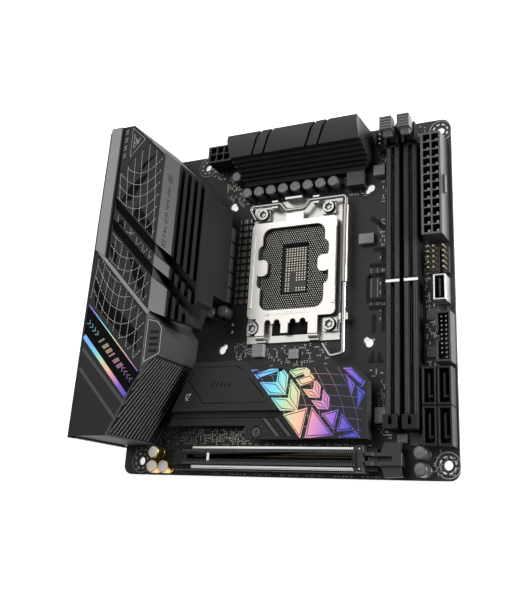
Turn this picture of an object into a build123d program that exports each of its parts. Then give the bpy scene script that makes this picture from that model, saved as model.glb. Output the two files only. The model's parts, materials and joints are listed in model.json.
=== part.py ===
from build123d import *
import os

os.makedirs("parts", exist_ok=True)

# Motherboard in the small square format. The frame's zero height is the board's underside,
# where the standoffs meet it; x runs from the rear connectors to the front edge, y from the
# expansion slot to the far edge. Heights named z are counted up from the board's top face.

# ---------------------------------------------------------------- driving dimensions, millimetres
board_side = 170.0
board_thickness = 1.6
board_corner = 4.5
screw_hole_radius = 1.98
socket_x = 5.3
socket_y = 14.2
cooler_pitch = 78.0
cooler_hole_radius = 2.1
relief_pitch = 75.0
relief_radius = 1.5
clearance = 0.3
pivot_fit = 0.06

rear = -board_side / 2
front = board_side / 2
near = -board_side / 2
far = board_side / 2

screw_rows = {
    near + 6.35: (rear + 10.16, front - 4.9),
    far - 6.17: (rear + 33.02, front - 4.9),
}

plate_top = 5.0
plate_thickness = 1.2
plate_width = 47.0
plate_length = 50.3
wire_radius = 1.0
wire_height = 5.4
lever_hinge_y = socket_y + 34.3
plate_hinge_y = socket_y - 34.8
plate_hinge_z = 3.2

slot_length = 92.0
slot_left = -49.5
slot_y = near + 7.8
slot_core = 3.3
slot_height = 11.0

memory_width = 6.6
memory_height = 8.2
memory_near = near + 20.0
memory_far = far - 14.2
memory_a_x = front - 26.7
memory_b_x = front - 18.0
latch_width = 4.2
latch_pivot_y = far - 8.4
latch_pivot_z = 3.6
trunnion = 1.0

cover_height = 42.0
cover_wall = 1.8
aperture_y = 7.0
aperture_width = 158.6
shield_x = rear - 3.4
shield_thickness = 0.8
shield_low = -2.1
shield_high = cover_height + 0.3
port_face = shield_x - 0.5

pad_thickness = 1.0
choke_height = 6.8
tail_length = 2.0


def slab(low, high, mode=Mode.ADD):
    """A box between two corners, heights counted from the board's top face."""
    middle = [(a + b) / 2 for a, b in zip(low, high)]
    with Locations((middle[0], middle[1], middle[2] + board_thickness)):
        Box(*(b - a for a, b in zip(low, high)), mode=mode)


def post(x, y, z_low, z_high, radius, mode=Mode.ADD):
    """An upright round post, heights counted from the board's top face."""
    with Locations((x, y, (z_low + z_high) / 2 + board_thickness)):
        Cylinder(radius, z_high - z_low, mode=mode)


def rod_x(x_low, x_high, y, z, radius, mode=Mode.ADD):
    """A round rod along x, its height counted from the board's top face."""
    with Locations(Location(((x_low + x_high) / 2, y, z + board_thickness), (0, 90, 0))):
        Cylinder(radius, x_high - x_low, mode=mode)


def rod_y(x, y_low, y_high, z, radius, mode=Mode.ADD):
    """A round rod along y, its height counted from the board's top face."""
    with Locations(Location((x, (y_low + y_high) / 2, z + board_thickness), (90, 0, 0))):
        Cylinder(radius, y_high - y_low, mode=mode)


def prism(points, z_low, z_high, mode=Mode.ADD):
    """A plan outline raised between two heights above the board."""
    with BuildSketch(Plane.XY.offset(board_thickness + z_low)) as outline:
        with BuildLine():
            Polyline(*points, close=True)
        make_face()
    extrude(outline.sketch, amount=z_high - z_low, mode=mode)


def profile_along_x(points, x_low, x_high, mode=Mode.ADD):
    """A y-z outline, heights above the board, carried along x."""
    with BuildSketch(Plane.YZ.offset(x_low)) as outline:
        with BuildLine():
            Polyline(*((y, z + board_thickness) for y, z in points), close=True)
        make_face()
    extrude(outline.sketch, amount=x_high - x_low, mode=mode)


def diagonal_cut(total, x_low, x_high, width, z_low, z_high):
    """A straight cut running at 45 degrees in plan, along x + y = total."""
    half = width / 2 ** 0.5
    outline = [
        (x_low, total - x_low - half),
        (x_high, total - x_high - half),
        (x_high, total - x_high + half),
        (x_low, total - x_low + half),
    ]
    prism(outline, z_low, z_high, Mode.SUBTRACT)


# ---------------------------------------------------------------- board
heatsink_screws_at = [
    (rear + 41.0, 4.0),
    (rear + 41.0, 50.0),
    (-14.0, far - 12.0),
    (36.0, far - 12.0),
]
heatsink_screw_radius = 1.4

with BuildPart() as pcb:
    with BuildSketch(Plane.XY):
        RectangleRounded(board_side, board_side, board_corner)
        for row_y, row in screw_rows.items():
            with Locations(*((x, row_y) for x in row)):
                Circle(screw_hole_radius, mode=Mode.SUBTRACT)
        with Locations((socket_x, socket_y)):
            with GridLocations(cooler_pitch, cooler_pitch, 2, 2):
                Circle(cooler_hole_radius, mode=Mode.SUBTRACT)
            with GridLocations(relief_pitch, relief_pitch, 2, 2):
                Circle(relief_radius, mode=Mode.SUBTRACT)
        with Locations(*heatsink_screws_at):
            Circle(heatsink_screw_radius + pivot_fit, mode=Mode.SUBTRACT)
    extrude(amount=board_thickness)
pcb.part.label = "pcb"
export_step(pcb.part, "parts/pcb.step")

# ---------------------------------------------------------------- processor socket
seat_x = 37.8
seat_y = 45.3
body_x = 43.6
body_y = 50.4
body_top = 3.4
seat_floor = 1.2
recess_x = 13.4
recess_y = 24.4

with BuildPart() as socket_body:
    with BuildSketch(Plane.XY.offset(board_thickness)):
        with Locations((socket_x, socket_y)):
            RectangleRounded(body_x, body_y, 1.5)
    extrude(amount=body_top)
    with BuildSketch(Plane.XY.offset(board_thickness + seat_floor)):
        with Locations((socket_x, socket_y)):
            RectangleRounded(seat_x, seat_y, 1.0)
    extrude(amount=body_top, mode=Mode.SUBTRACT)
    with BuildSketch(Plane.XY.offset(board_thickness + 0.4)):
        with Locations((socket_x, socket_y)):
            Rectangle(recess_x, recess_y)
    extrude(amount=body_top, mode=Mode.SUBTRACT)
socket_body.part.label = "socket_body"
export_step(socket_body.part, "parts/socket_body.step")

contact_height = 0.9
with BuildPart() as socket_contacts:
    with BuildSketch(Plane.XY.offset(board_thickness + seat_floor)):
        with Locations((socket_x, socket_y)):
            Rectangle(seat_x - 2 * clearance, seat_y - 2 * clearance)
            Rectangle(recess_x, recess_y, mode=Mode.SUBTRACT)
    extrude(amount=contact_height)
socket_contacts.part.label = "socket_contacts"
export_step(socket_contacts.part, "parts/socket_contacts.step")

# Steel frame round the socket, with the screw lands, lever cradles and plate cradles.
frame_thickness = 1.2
frame_half_x = plate_width / 2 + 1.2
frame_far = socket_y + 37.2
frame_near = socket_y - 37.0
land_top = 3.0
far_screws_x = 18.3
near_screws_x = 20.4
socket_screw_y = 30.0
socket_screws_at = [
    (socket_x - far_screws_x, socket_y + socket_screw_y),
    (socket_x + far_screws_x, socket_y + socket_screw_y),
    (socket_x - near_screws_x, socket_y - socket_screw_y),
    (socket_x + near_screws_x, socket_y - socket_screw_y),
]
socket_screw_shank = 1.7
socket_screw_head = 2.9
lever_arm_x = socket_x + plate_width / 2 + 4.7
cradles_x = (socket_x - 11.0, socket_x + 12.0)
cradle_half = 1.7
side_cradle_y = socket_y - 27.2
plate_straps_x = (socket_x - 16.0, socket_x + 12.2)
strap_half = 2.7

with BuildPart() as ilm_frame:
    slab((socket_x - frame_half_x, frame_near, 0), (socket_x + frame_half_x, frame_far, frame_thickness))
    with BuildSketch(Plane.XY.offset(board_thickness)):
        with Locations((socket_x, socket_y)):
            RectangleRounded(body_x + 2 * clearance, body_y + 2 * clearance, 1.5)
    extrude(amount=land_top, mode=Mode.SUBTRACT)
    for x, y in socket_screws_at:
        slab((x - 3.6, y - 3.2, frame_thickness), (x + 3.6, y + 3.2, land_top))
        post(x, y, 0, land_top, socket_screw_shank + clearance, Mode.SUBTRACT)
    # upright tongue behind the lever's crank
    slab((socket_x - 5.0, frame_far - 1.2, frame_thickness), (socket_x + 4.5, frame_far, wire_height + 1.2))
    for x in cradles_x:
        slab((x - cradle_half, lever_hinge_y - 2.1, frame_thickness),
             (x + cradle_half, lever_hinge_y + 2.1, wire_height + 0.6))
        slab((x - cradle_half, lever_hinge_y - wire_radius - 0.1, wire_height - wire_radius - 0.1),
             (x + cradle_half, lever_hinge_y + wire_radius + 0.1, wire_height + 1.0), Mode.SUBTRACT)
    # side cradle that the lever's arm drops into
    slab((socket_x + frame_half_x - 1.0, side_cradle_y - 1.6, 0),
         (lever_arm_x + 2.3, side_cradle_y + 1.6, frame_thickness))
    slab((lever_arm_x - 2.3, side_cradle_y - 1.6, frame_thickness),
         (lever_arm_x + 2.3, side_cradle_y + 1.6, wire_height + 0.6))
    slab((lever_arm_x - wire_radius - 0.1, side_cradle_y - 1.6, wire_height - wire_radius - 0.1),
         (lever_arm_x + wire_radius + 0.1, side_cradle_y + 1.6, wire_height + 1.0), Mode.SUBTRACT)
    # cradles that the load plate's rolled ends turn in
    for x in plate_straps_x:
        slab((x - strap_half, plate_hinge_y - 2.1, frame_thickness - 0.4),
             (x + strap_half, plate_hinge_y + 2.1, plate_hinge_z - 0.4))
        rod_x(x - strap_half, x + strap_half, plate_hinge_y, plate_hinge_z, 1.4, Mode.SUBTRACT)
ilm_frame.part.label = "ilm_frame"
export_step(ilm_frame.part, "parts/ilm_frame.step")

with BuildPart() as ilm_screws:
    for x, y in socket_screws_at:
        post(x, y, 0, land_top, socket_screw_shank)
        post(x, y, land_top, land_top + 1.7, socket_screw_head)
        with BuildSketch(Plane.XY.offset(board_thickness + land_top + 0.7)):
            with Locations((x, y)):
                RegularPolygon(1.5, 6)
        extrude(amount=2.0, mode=Mode.SUBTRACT)
ilm_screws.part.label = "ilm_screws"
export_step(ilm_screws.part, "parts/ilm_screws.step")

with BuildPart() as ilm_backplate:
    with BuildSketch(Plane.XY.offset(-tail_length)):
        with Locations((socket_x, socket_y)):
            RectangleRounded(2 * near_screws_x + 12, 2 * socket_screw_y + 12, 4)
            RectangleRounded(seat_x - 8, seat_y - 8, 4, mode=Mode.SUBTRACT)
    extrude(amount=tail_length)
ilm_backplate.part.label = "ilm_backplate"
export_step(ilm_backplate.part, "parts/ilm_backplate.step")

# Load plate: a pressed steel frame with a waisted window, hinged at the slot side.
window_half_x = 17.3
window_half_y = 21.6
plate_low = plate_top - plate_thickness
tongue_end = lever_hinge_y - 4.1 - wire_radius - clearance - 0.1

with BuildPart() as load_plate:
    with BuildSketch(Plane.XY.offset(board_thickness + plate_low)):
        with Locations((socket_x, socket_y - 0.3)):
            RectangleRounded(plate_width, plate_length, 2.5)
        with Locations((socket_x, socket_y)):
            RectangleRounded(2 * window_half_x, 2 * window_half_y, 5.0, mode=Mode.SUBTRACT)
            with Locations((0, 8.2), (0, -5.6)):
                RectangleRounded(2 * window_half_x + 4.4, 9.0, 3.0, mode=Mode.SUBTRACT)
            with Locations((-window_half_x + 0.4, 0.6), (window_half_x - 0.4, 0.6)):
                RectangleRounded(6.4, 8.4, 2.5)
    extrude(amount=plate_thickness)
    # tongue that the lever's crank presses on
    slab((socket_x - 4.6, socket_y + plate_length / 2 - 1.5, plate_low),
         (socket_x + 5.0, tongue_end, plate_top))
    # raised pressing along the two long sides
    for side in (-1, 1):
        x = socket_x + side * (plate_width / 2 - 1.1)
        slab((x - 0.9, socket_y - 20, plate_low), (x + 0.9, socket_y + 19, plate_top + 0.5))
    # straps down to the rolled ends, and the guide tab between them
    for x in plate_straps_x:
        slab((x - strap_half + clearance, plate_hinge_y + 0.7, plate_low),
             (x + strap_half - clearance, socket_y - plate_length / 2 + 1, plate_top))
        rod_x(x - strap_half + clearance, x + strap_half - clearance, plate_hinge_y, plate_hinge_z, 1.3)
    slab((socket_x - 4.6, plate_hinge_y + 1.6, plate_low),
         (socket_x - 0.9, socket_y - plate_length / 2 + 1, plate_top))
    # lower web with four round bites
    slab((plate_straps_x[0], socket_y - 28.4, plate_low),
         (plate_straps_x[1], socket_y - plate_length / 2 + 1, plate_top))
    for x in (-11.9, -6.9, 1.7, 6.9):
        post(socket_x + x, socket_y - 28.0, plate_low, plate_top, 1.7, Mode.SUBTRACT)
    # round bites that clear the near screw heads
    for x, y in socket_screws_at[2:]:
        post(x, y, plate_low, plate_top + 1, socket_screw_head + 1.0, Mode.SUBTRACT)
load_plate.part.label = "load_plate"
export_step(load_plate.part, "parts/load_plate.step")

# Load lever: one bent spring-steel wire; its long arm lies along the front side of the socket.
crank_y = lever_hinge_y - 4.1
lever_plane = Plane.XY.offset(board_thickness + wire_height)
with BuildPart() as load_lever:
    with BuildLine(lever_plane):
        FilletPolyline(
            (socket_x - 21.6, lever_hinge_y - 7.6),
            (socket_x - 26.0, lever_hinge_y),
            (socket_x - 7.6, lever_hinge_y),
            (socket_x - 4.6, crank_y),
            (socket_x + 5.4, crank_y),
            (socket_x + 8.4, lever_hinge_y),
            (lever_arm_x, lever_hinge_y),
            (lever_arm_x, socket_y - 44.5),
            (lever_arm_x - 6.2, socket_y - 45.6),
            (lever_arm_x - 10.2, socket_y - 39.6),
            radius=1.6,
        )
    with BuildSketch(Plane(origin=(socket_x - 21.6, lever_hinge_y - 7.6, board_thickness + wire_height),
                           z_dir=(-4.4, 7.6, 0))):
        Circle(wire_radius)
    sweep()
load_lever.part.label = "load_lever"
export_step(load_lever.part, "parts/load_lever.step")

sleeve_near = socket_y - 10.6
sleeve_far = lever_hinge_y - 5.0
with BuildPart() as lever_sleeve:
    rod_y(lever_arm_x, sleeve_near, sleeve_far, wire_height, 1.7)
    rod_y(lever_arm_x, sleeve_near, sleeve_far, wire_height, wire_radius, Mode.SUBTRACT)
lever_sleeve.part.label = "lever_sleeve"
export_step(lever_sleeve.part, "parts/lever_sleeve.step")

# ---------------------------------------------------------------- memory slots and latches
cheek_inner = latch_width / 2 + 0.2
key_y = 1.5
for name, x in (("a", memory_a_x), ("b", memory_b_x)):
    half = memory_width / 2
    with BuildPart() as memory_slot:
        slab((x - half, memory_near, 0), (x + half, memory_far, memory_height))
        for y_low, y_high in ((memory_near + 6.5, key_y - 0.9), (key_y + 0.9, memory_far - 1.2)):
            slab((x - 0.8, y_low, 1.6), (x + 0.8, y_high, memory_height), Mode.SUBTRACT)
        # fixed upright at the slot side, notched for the module's edge
        slab((x - half, memory_near, memory_height), (x + half, memory_near + 6.0, 12.0))
        slab((x - 0.9, memory_near + 1.8, memory_height), (x + 0.9, memory_near + 6.0, 12.0), Mode.SUBTRACT)
        # cheeks that carry the latch
        for side in (-1, 1):
            inner = x + side * cheek_inner
            outer = x + side * half
            slab((min(inner, outer), memory_far - 0.6, 0), (max(inner, outer), far - 4.6, 11.4))
            rod_x(min(inner, outer), max(inner, outer), latch_pivot_y, latch_pivot_z,
                  trunnion + pivot_fit, Mode.SUBTRACT)
    memory_slot.part.label = f"memory_slot_{name}"
    export_step(memory_slot.part, f"parts/memory_slot_{name}.step")

    with BuildPart() as memory_latch:
        pivot = latch_pivot_y
        stem = [
            (pivot - 3.2, 1.7), (pivot + 2.0, 1.7), (pivot + 3.0, 5.0), (pivot + 3.2, 14.0),
            (pivot + 3.4, 19.4), (pivot - 2.4, 19.4), (pivot - 2.4, 17.0), (pivot - 4.8, 16.0),
            (pivot - 4.8, 14.6), (pivot - 2.0, 13.2), (pivot - 2.0, 7.0), (pivot - 3.2, 5.6),
        ]
        profile_along_x(stem, x - latch_width / 2, x + latch_width / 2)
        head = [
            (pivot - 2.4, 14.2), (pivot + 3.2, 14.2), (pivot + 4.2, 16.5), (pivot + 4.2, 20.0),
            (pivot - 2.4, 20.0),
        ]
        profile_along_x(head, x - 3.0, x + 3.0)
        for groove in range(4):
            y = pivot - 1.4 + 1.5 * groove
            slab((x - 3.0, y - 0.35, 19.5), (x + 3.0, y + 0.35, 20.0), Mode.SUBTRACT)
        rod_x(x - half + 0.2, x + half - 0.2, pivot, latch_pivot_z, trunnion)
    memory_latch.part.label = f"memory_latch_{name}"
    export_step(memory_latch.part, f"parts/memory_latch_{name}.step")

# ---------------------------------------------------------------- expansion slot
slot_right = slot_left + slot_length
slot_key_x = -30.4
base_half = 5.6
bar_inner = slot_core + 0.1
bar_outer = 5.0
base_height = 7.4
latch_hinge_x = slot_right + 6.2
latch_hinge_z = 3.6

with BuildPart() as expansion_slot:
    slab((slot_left - 1.5, slot_y - base_half, 0), (slot_right + 3.4, slot_y + base_half, base_height))
    slab((slot_left, slot_y - slot_core, base_height), (slot_right, slot_y + slot_core, slot_height))
    for x_low, x_high in ((slot_left + 6.5, slot_key_x - 0.9), (slot_key_x + 0.9, slot_right - 1.5)):
        slab((x_low, slot_y - 0.95, 2.0), (x_high, slot_y + 0.95, slot_height), Mode.SUBTRACT)
    # ears that carry the latch
    for side in (-1, 1):
        y_in = slot_y + side * 3.0
        y_out = slot_y + side * 4.6
        slab((slot_right + 3.0, min(y_in, y_out), 0), (latch_hinge_x + 2.2, max(y_in, y_out), 6.4))
        rod_y(latch_hinge_x, min(y_in, y_out), max(y_in, y_out), latch_hinge_z,
              trunnion + pivot_fit, Mode.SUBTRACT)
expansion_slot.part.label = "expansion_slot"
export_step(expansion_slot.part, "parts/expansion_slot.step")

with BuildPart() as slot_armour:
    for side in (-1, 1):
        y_in = slot_y + side * bar_inner
        y_out = slot_y + side * bar_outer
        slab((slot_left + 9.0, min(y_in, y_out), base_height), (slot_right - 1.0, max(y_in, y_out), 9.4))
slot_armour.part.label = "slot_armour"
export_step(slot_armour.part, "parts/slot_armour.step")

with BuildPart() as slot_end_block:
    slab((slot_right - 0.7, slot_y - base_half, base_height), (slot_right + 3.4, slot_y + base_half, 9.8))
    slab((slot_right - 0.7, slot_y - slot_core - 0.1, base_height),
         (slot_right + 0.1, slot_y + slot_core + 0.1, slot_height), Mode.SUBTRACT)
    for side in (-1, 1):
        post(slot_right + 1.4, slot_y + side * 4.2, 8.4, 9.8, 0.8, Mode.SUBTRACT)
slot_end_block.part.label = "slot_end_block"
export_step(slot_end_block.part, "parts/slot_end_block.step")

# Broad latch: pressing its wings down swings the hook away from the card.
with BuildPart() as slot_latch:
    slab((latch_hinge_x - 1.8, slot_y - 2.7, 1.8), (latch_hinge_x + 3.0, slot_y + 2.7, 5.4))
    rod_y(latch_hinge_x, slot_y - 4.3, slot_y + 4.3, latch_hinge_z, trunnion)
    slab((latch_hinge_x + 1.4, slot_y - 2.7, 3.8), (latch_hinge_x + 14.0, slot_y + 2.7, 9.0))
    slab((latch_hinge_x + 2.6, slot_y - 1.0, 6.0), (latch_hinge_x + 9.6, slot_y + 1.0, 9.0), Mode.SUBTRACT)
    for side in (-1, 1):
        wing = [
            (latch_hinge_x + 3.4, slot_y + side * 2.4),
            (latch_hinge_x + 12.6, slot_y + side * 2.4),
            (latch_hinge_x + 13.6, slot_y + side * 7.0),
            (latch_hinge_x + 5.4, slot_y + side * 7.3),
        ]
        prism(wing, 4.4, 6.4)
    slab((latch_hinge_x - 1.8, slot_y - 2.7, 5.4), (latch_hinge_x + 1.6, slot_y + 2.7, 11.4))
    slab((latch_hinge_x - 1.8, slot_y - 1.0, 7.4), (latch_hinge_x + 2.6, slot_y + 1.0, 11.4), Mode.SUBTRACT)
slot_latch.part.label = "slot_latch"
export_step(slot_latch.part, "parts/slot_latch.step")

# ---------------------------------------------------------------- power headers
cell_pitch = 4.2
cell_size = 3.5
header_height = 12.6
pin_half = 0.5


def header_cells(centre, columns, rows):
    """Plan positions of a power header's cells."""
    for column in range(columns):
        for row in range(rows):
            yield (centre[0] + (column - (columns - 1) / 2) * cell_pitch,
                   centre[1] + (row - (rows - 1) / 2) * cell_pitch)


header_wall = 0.6
cpu_end_wall = 1.0
far_left = -25.0
main_half_x = cell_pitch + header_wall
main_half_y = 6 * cell_pitch + header_wall
cpu_half_x = 2 * cell_pitch + cpu_end_wall
cpu_half_y = cell_pitch + header_wall
main_power = (front - 6.7, far - 64.3 + main_half_y)
cpu_power = (far_left - 0.8 - cpu_half_x, far - 5.4)

with BuildPart() as main_power_header:
    x, y = main_power
    slab((x - main_half_x, y - main_half_y, 0), (x + main_half_x, y + main_half_y, header_height))
    for cell_x, cell_y in header_cells(main_power, 2, 12):
        slab((cell_x - cell_size / 2, cell_y - cell_size / 2, 1.6),
             (cell_x + cell_size / 2, cell_y + cell_size / 2, header_height), Mode.SUBTRACT)
    slab((x + main_half_x, y - 4.4, 6.8), (x + main_half_x + 1.1, y + 4.4, 9.4))
main_power_header.part.label = "main_power_header"
export_step(main_power_header.part, "parts/main_power_header.step")

with BuildPart() as main_power_pins:
    for cell_x, cell_y in header_cells(main_power, 2, 12):
        slab((cell_x - pin_half, cell_y - pin_half, 1.6), (cell_x + pin_half, cell_y + pin_half, 9.6))
main_power_pins.part.label = "main_power_pins"
export_step(main_power_pins.part, "parts/main_power_pins.step")

with BuildPart() as cpu_power_header:
    x, y = cpu_power
    slab((x - cpu_half_x, y - cpu_half_y, 0), (x + cpu_half_x, y + cpu_half_y, header_height))
    for cell_x, cell_y in header_cells(cpu_power, 4, 2):
        slab((cell_x - cell_size / 2, cell_y - cell_size / 2, 1.6),
             (cell_x + cell_size / 2, cell_y + cell_size / 2, header_height), Mode.SUBTRACT)
cpu_power_header.part.label = "cpu_power_header"
export_step(cpu_power_header.part, "parts/cpu_power_header.step")

with BuildPart() as cpu_power_pins:
    for cell_x, cell_y in header_cells(cpu_power, 4, 2):
        slab((cell_x - pin_half, cell_y - pin_half, 1.6), (cell_x + pin_half, cell_y + pin_half, 9.6))
cpu_power_pins.part.label = "cpu_power_pins"
export_step(cpu_power_pins.part, "parts/cpu_power_pins.step")

# ---------------------------------------------------------------- power stages
transistor_top = 1.0
spreader_low = transistor_top + pad_thickness
side_transistors = [(rear + 41.0, 9.0 + 7.0 * i) for i in range(6)]
side_chokes = [(rear + 50.8, 2.5 + 8.2 * i) for i in range(5)]
far_transistors = [(-8.0 + 7.0 * i, far - 15.5) for i in range(6)]
loose_choke = (38.0, far - 27.6)

with BuildPart() as power_transistors:
    for x, y in side_transistors + far_transistors:
        slab((x - 2.5, y - 2.5, 0), (x + 2.5, y + 2.5, transistor_top))
power_transistors.part.label = "power_transistors"
export_step(power_transistors.part, "parts/power_transistors.step")

with BuildPart() as power_chokes:
    for x, y in side_chokes:
        slab((x - 3.8, y - 3.8, 0), (x + 3.8, y + 3.8, choke_height))
    x, y = loose_choke
    slab((x - 4.6, y - 4.2, 0), (x + 4.6, y + 3.4, 6.0))
power_chokes.part.label = "power_chokes"
export_step(power_chokes.part, "parts/power_chokes.step")

side_spreader_low = choke_height + pad_thickness
with BuildPart() as thermal_pads:
    slab((rear + 38.6, 5.8, transistor_top), (rear + 43.4, 47.2, spreader_low))
    slab((rear + 47.2, -1.0, choke_height), (rear + 54.4, 39.0, side_spreader_low))
    slab((-10.5, far - 18.0, transistor_top), (30.0, far - 13.0, spreader_low))
thermal_pads.part.label = "thermal_pads"
export_step(thermal_pads.part, "parts/thermal_pads.step")

# Finned block beside the cover: a bevelled strip, then fins, all crossed by two slanting cuts.
strip_x = rear + 33.3
fins_x = rear + 37.8
block_x = rear + 56.2
fin_top = 34.0
strip_top = cover_height - 0.2
slash_offsets = (-34.5, -46.0)
slash_width = 4.0

with BuildPart() as side_heatsink:
    lower = [(fins_x, -2.5), (block_x, -2.5), (block_x, 46.0), (fins_x, 60.0)]
    prism(lower, side_spreader_low, 21.0)
    upper = [
        (strip_x, -13.6), (fins_x, -15.2), (rear + 51.0, -19.5), (rear + 54.0, -10.5), (block_x, -9.0),
        (block_x, 49.5), (fins_x, 65.5), (strip_x, 69.6),
    ]
    prism(upper, 21.0, strip_top)
    foot = [(fins_x, 1.0), (rear + 44.6, 1.0), (rear + 44.6, 53.5), (fins_x, 53.5)]
    prism(foot, spreader_low, side_spreader_low)
    # bevel from the strip's high edge down to the fins, then the level of the fins
    with BuildSketch(Plane.XZ.offset(80)):
        with BuildLine():
            Polyline(
                (strip_x, strip_top + board_thickness), (fins_x, fin_top + board_thickness),
                (block_x + 1, fin_top + board_thickness), (block_x + 1, 60), (strip_x, 60), close=True,
            )
        make_face()
    extrude(amount=-170, mode=Mode.SUBTRACT)
    for x in (rear + 39.0, rear + 43.2, rear + 47.4, rear + 51.6):
        slab((x, -20, fin_top - 7.0), (x + 2.3, 70, fin_top + 1), Mode.SUBTRACT)
    for slash in slash_offsets:
        diagonal_cut(slash, strip_x - 1, block_x - 2.6, slash_width, fin_top - 8.0, strip_top + 1)
    for x, y in heatsink_screws_at[:2]:
        post(x, y, spreader_low, 6.0, heatsink_screw_radius + pivot_fit, Mode.SUBTRACT)
side_heatsink.part.label = "side_heatsink"
export_step(side_heatsink.part, "parts/side_heatsink.step")

# Far heatsink: a stepped wedge with a bevelled crown, cut across by slanting slots.
far_right = 46.2
crown_top = 26.6
step_count = 5
with BuildPart() as far_heatsink:
    steps = [(far - 3.6, spreader_low), (far - 3.6, crown_top - 0.6), (far - 5.0, crown_top)]
    crown_y, crown_low = far - 14.8, 22.6
    steps += [(far - 7.4, crown_top), (crown_y, crown_low)]
    step_y, step_z = 1.35, 3.0
    y, z = crown_y, crown_low
    for _ in range(step_count):
        steps += [(y, z - step_z), (y - step_y, z - step_z)]
        y, z = y - step_y, z - step_z
    steps += [(y, 5.4), (y - 2.2, 4.6), (y - 2.2, spreader_low)]
    profile_along_x(steps, far_left, far_right)
    # slanting slots through the crown
    for x in (-6.0, 0.5, 24.0, 30.5):
        slot = [
            (x, far - 3.0), (x + 1.5, far - 3.0), (x - 6.5, crown_y - 1.0), (x - 8.0, crown_y - 1.0),
        ]
        prism(slot, 19.6, crown_top + 1, Mode.SUBTRACT)
    # bevelled near corner at the front end
    corner = [(far_right + 1, crown_y - 12), (far_right - 7, crown_y - 12), (far_right + 1, crown_y - 3)]
    prism(corner, 0, crown_top, Mode.SUBTRACT)
    # room for the processor power header at the rear end
    for x, y in heatsink_screws_at[2:]:
        post(x, y, spreader_low, 6.0, heatsink_screw_radius + pivot_fit, Mode.SUBTRACT)
far_heatsink.part.label = "far_heatsink"
export_step(far_heatsink.part, "parts/far_heatsink.step")

with BuildPart() as heatsink_screws:
    for x, y in heatsink_screws_at:
        post(x, y, -board_thickness, 5.6, heatsink_screw_radius)
        post(x, y, -board_thickness - 1.6, -board_thickness, 2.7)
heatsink_screws.part.label = "heatsink_screws"
export_step(heatsink_screws.part, "parts/heatsink_screws.step")

# ---------------------------------------------------------------- capacitors
can_radius = 2.95
can_height = 8.2
row_cans = [(socket_x - 27.0 + 6.95 * i, socket_y + 42.0) for i in range(8)]
other_cans = [
    (-28.6, far - 18.4), (rear + 46.9, -6.9), (rear + 53.9, -6.7),
    (front - 14.9, near + 10.6), (front - 14.7, near + 3.9),
]
with BuildPart() as polymer_capacitors:
    for x, y in row_cans + other_cans:
        post(x, y, 0, can_height, can_radius)
        with Locations((x, y, board_thickness + 1.1)):
            Torus(can_radius + 0.25, 0.45, mode=Mode.SUBTRACT)
    fillet(polymer_capacitors.edges().filter_by(GeomType.CIRCLE).group_by(Axis.Z)[-1], 0.5)
polymer_capacitors.part.label = "polymer_capacitors"
export_step(polymer_capacitors.part, "parts/polymer_capacitors.step")

audio_radius = 3.0
audio_cans = [(rear + 20.9, near + 10.2), (rear + 20.8, near + 3.6), (rear + 27.2, near + 3.6)]
with BuildPart() as audio_capacitors:
    for x, y in audio_cans:
        post(x, y, 0, 6.8, audio_radius)
        with Locations((x, y, board_thickness + 1.3)):
            Torus(audio_radius + 0.25, 0.5, mode=Mode.SUBTRACT)
    fillet(audio_capacitors.edges().filter_by(GeomType.CIRCLE).group_by(Axis.Z)[-1], 0.5)
audio_capacitors.part.label = "audio_capacitors"
export_step(audio_capacitors.part, "parts/audio_capacitors.step")

# ---------------------------------------------------------------- storage drive bay and chipset
bay_top = 12.4
bay_step = 9.2
bay_low = 6.6
drive_screw = (-7.0, near + 19.0)
drive_pad_low = 5.4
chipset_at = (22.0, near + 32.0)

with BuildPart() as chipset:
    x, y = chipset_at
    slab((x - 11, y - 9, 0), (x + 11, y + 9, 1.2))
    slab((x - 5, y - 5, 1.2), (x + 5, y + 5, 1.8))
chipset.part.label = "chipset"
export_step(chipset.part, "parts/chipset.step")

with BuildPart() as chipset_spreader:
    x, y = chipset_at
    slab((x - 14, y - 12, 1.8), (x + 14, y + 12, 4.2))
chipset_spreader.part.label = "chipset_spreader"
export_step(chipset_spreader.part, "parts/chipset_spreader.step")

with BuildPart() as drive_connector:
    slab((-40.0, near + 31.0, 0), (-33.0, near + 53.0, 4.2))
    slab((-34.4, near + 32.6, 1.7), (-32.9, near + 51.4, 2.8), Mode.SUBTRACT)
drive_connector.part.label = "drive_connector"
export_step(drive_connector.part, "parts/drive_connector.step")

drive_end_x = 42.6
drive_y = near + 40.0
with BuildPart() as drive_standoff:
    post(drive_end_x, drive_y, 0, 1.6, 2.6)
    post(drive_end_x, drive_y, 1.6, 3.9, 1.2)
drive_standoff.part.label = "drive_standoff"
export_step(drive_standoff.part, "parts/drive_standoff.step")

with BuildPart() as drive_latch:
    post(drive_end_x, drive_y, 2.2, 3.9, 2.4)
    slab((drive_end_x - 5.0, drive_y - 1.1, 2.6), (drive_end_x, drive_y + 1.1, 3.9))
    post(drive_end_x, drive_y, 2.2, 3.9, 1.2 + pivot_fit, Mode.SUBTRACT)
drive_latch.part.label = "drive_latch"
export_step(drive_latch.part, "parts/drive_latch.step")

with BuildPart() as drive_thermal_pad:
    slab((-30.0, near + 30.0, drive_pad_low), (36.0, near + 48.0, bay_low))
drive_thermal_pad.part.label = "drive_thermal_pad"
export_step(drive_thermal_pad.part, "parts/drive_thermal_pad.step")

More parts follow.
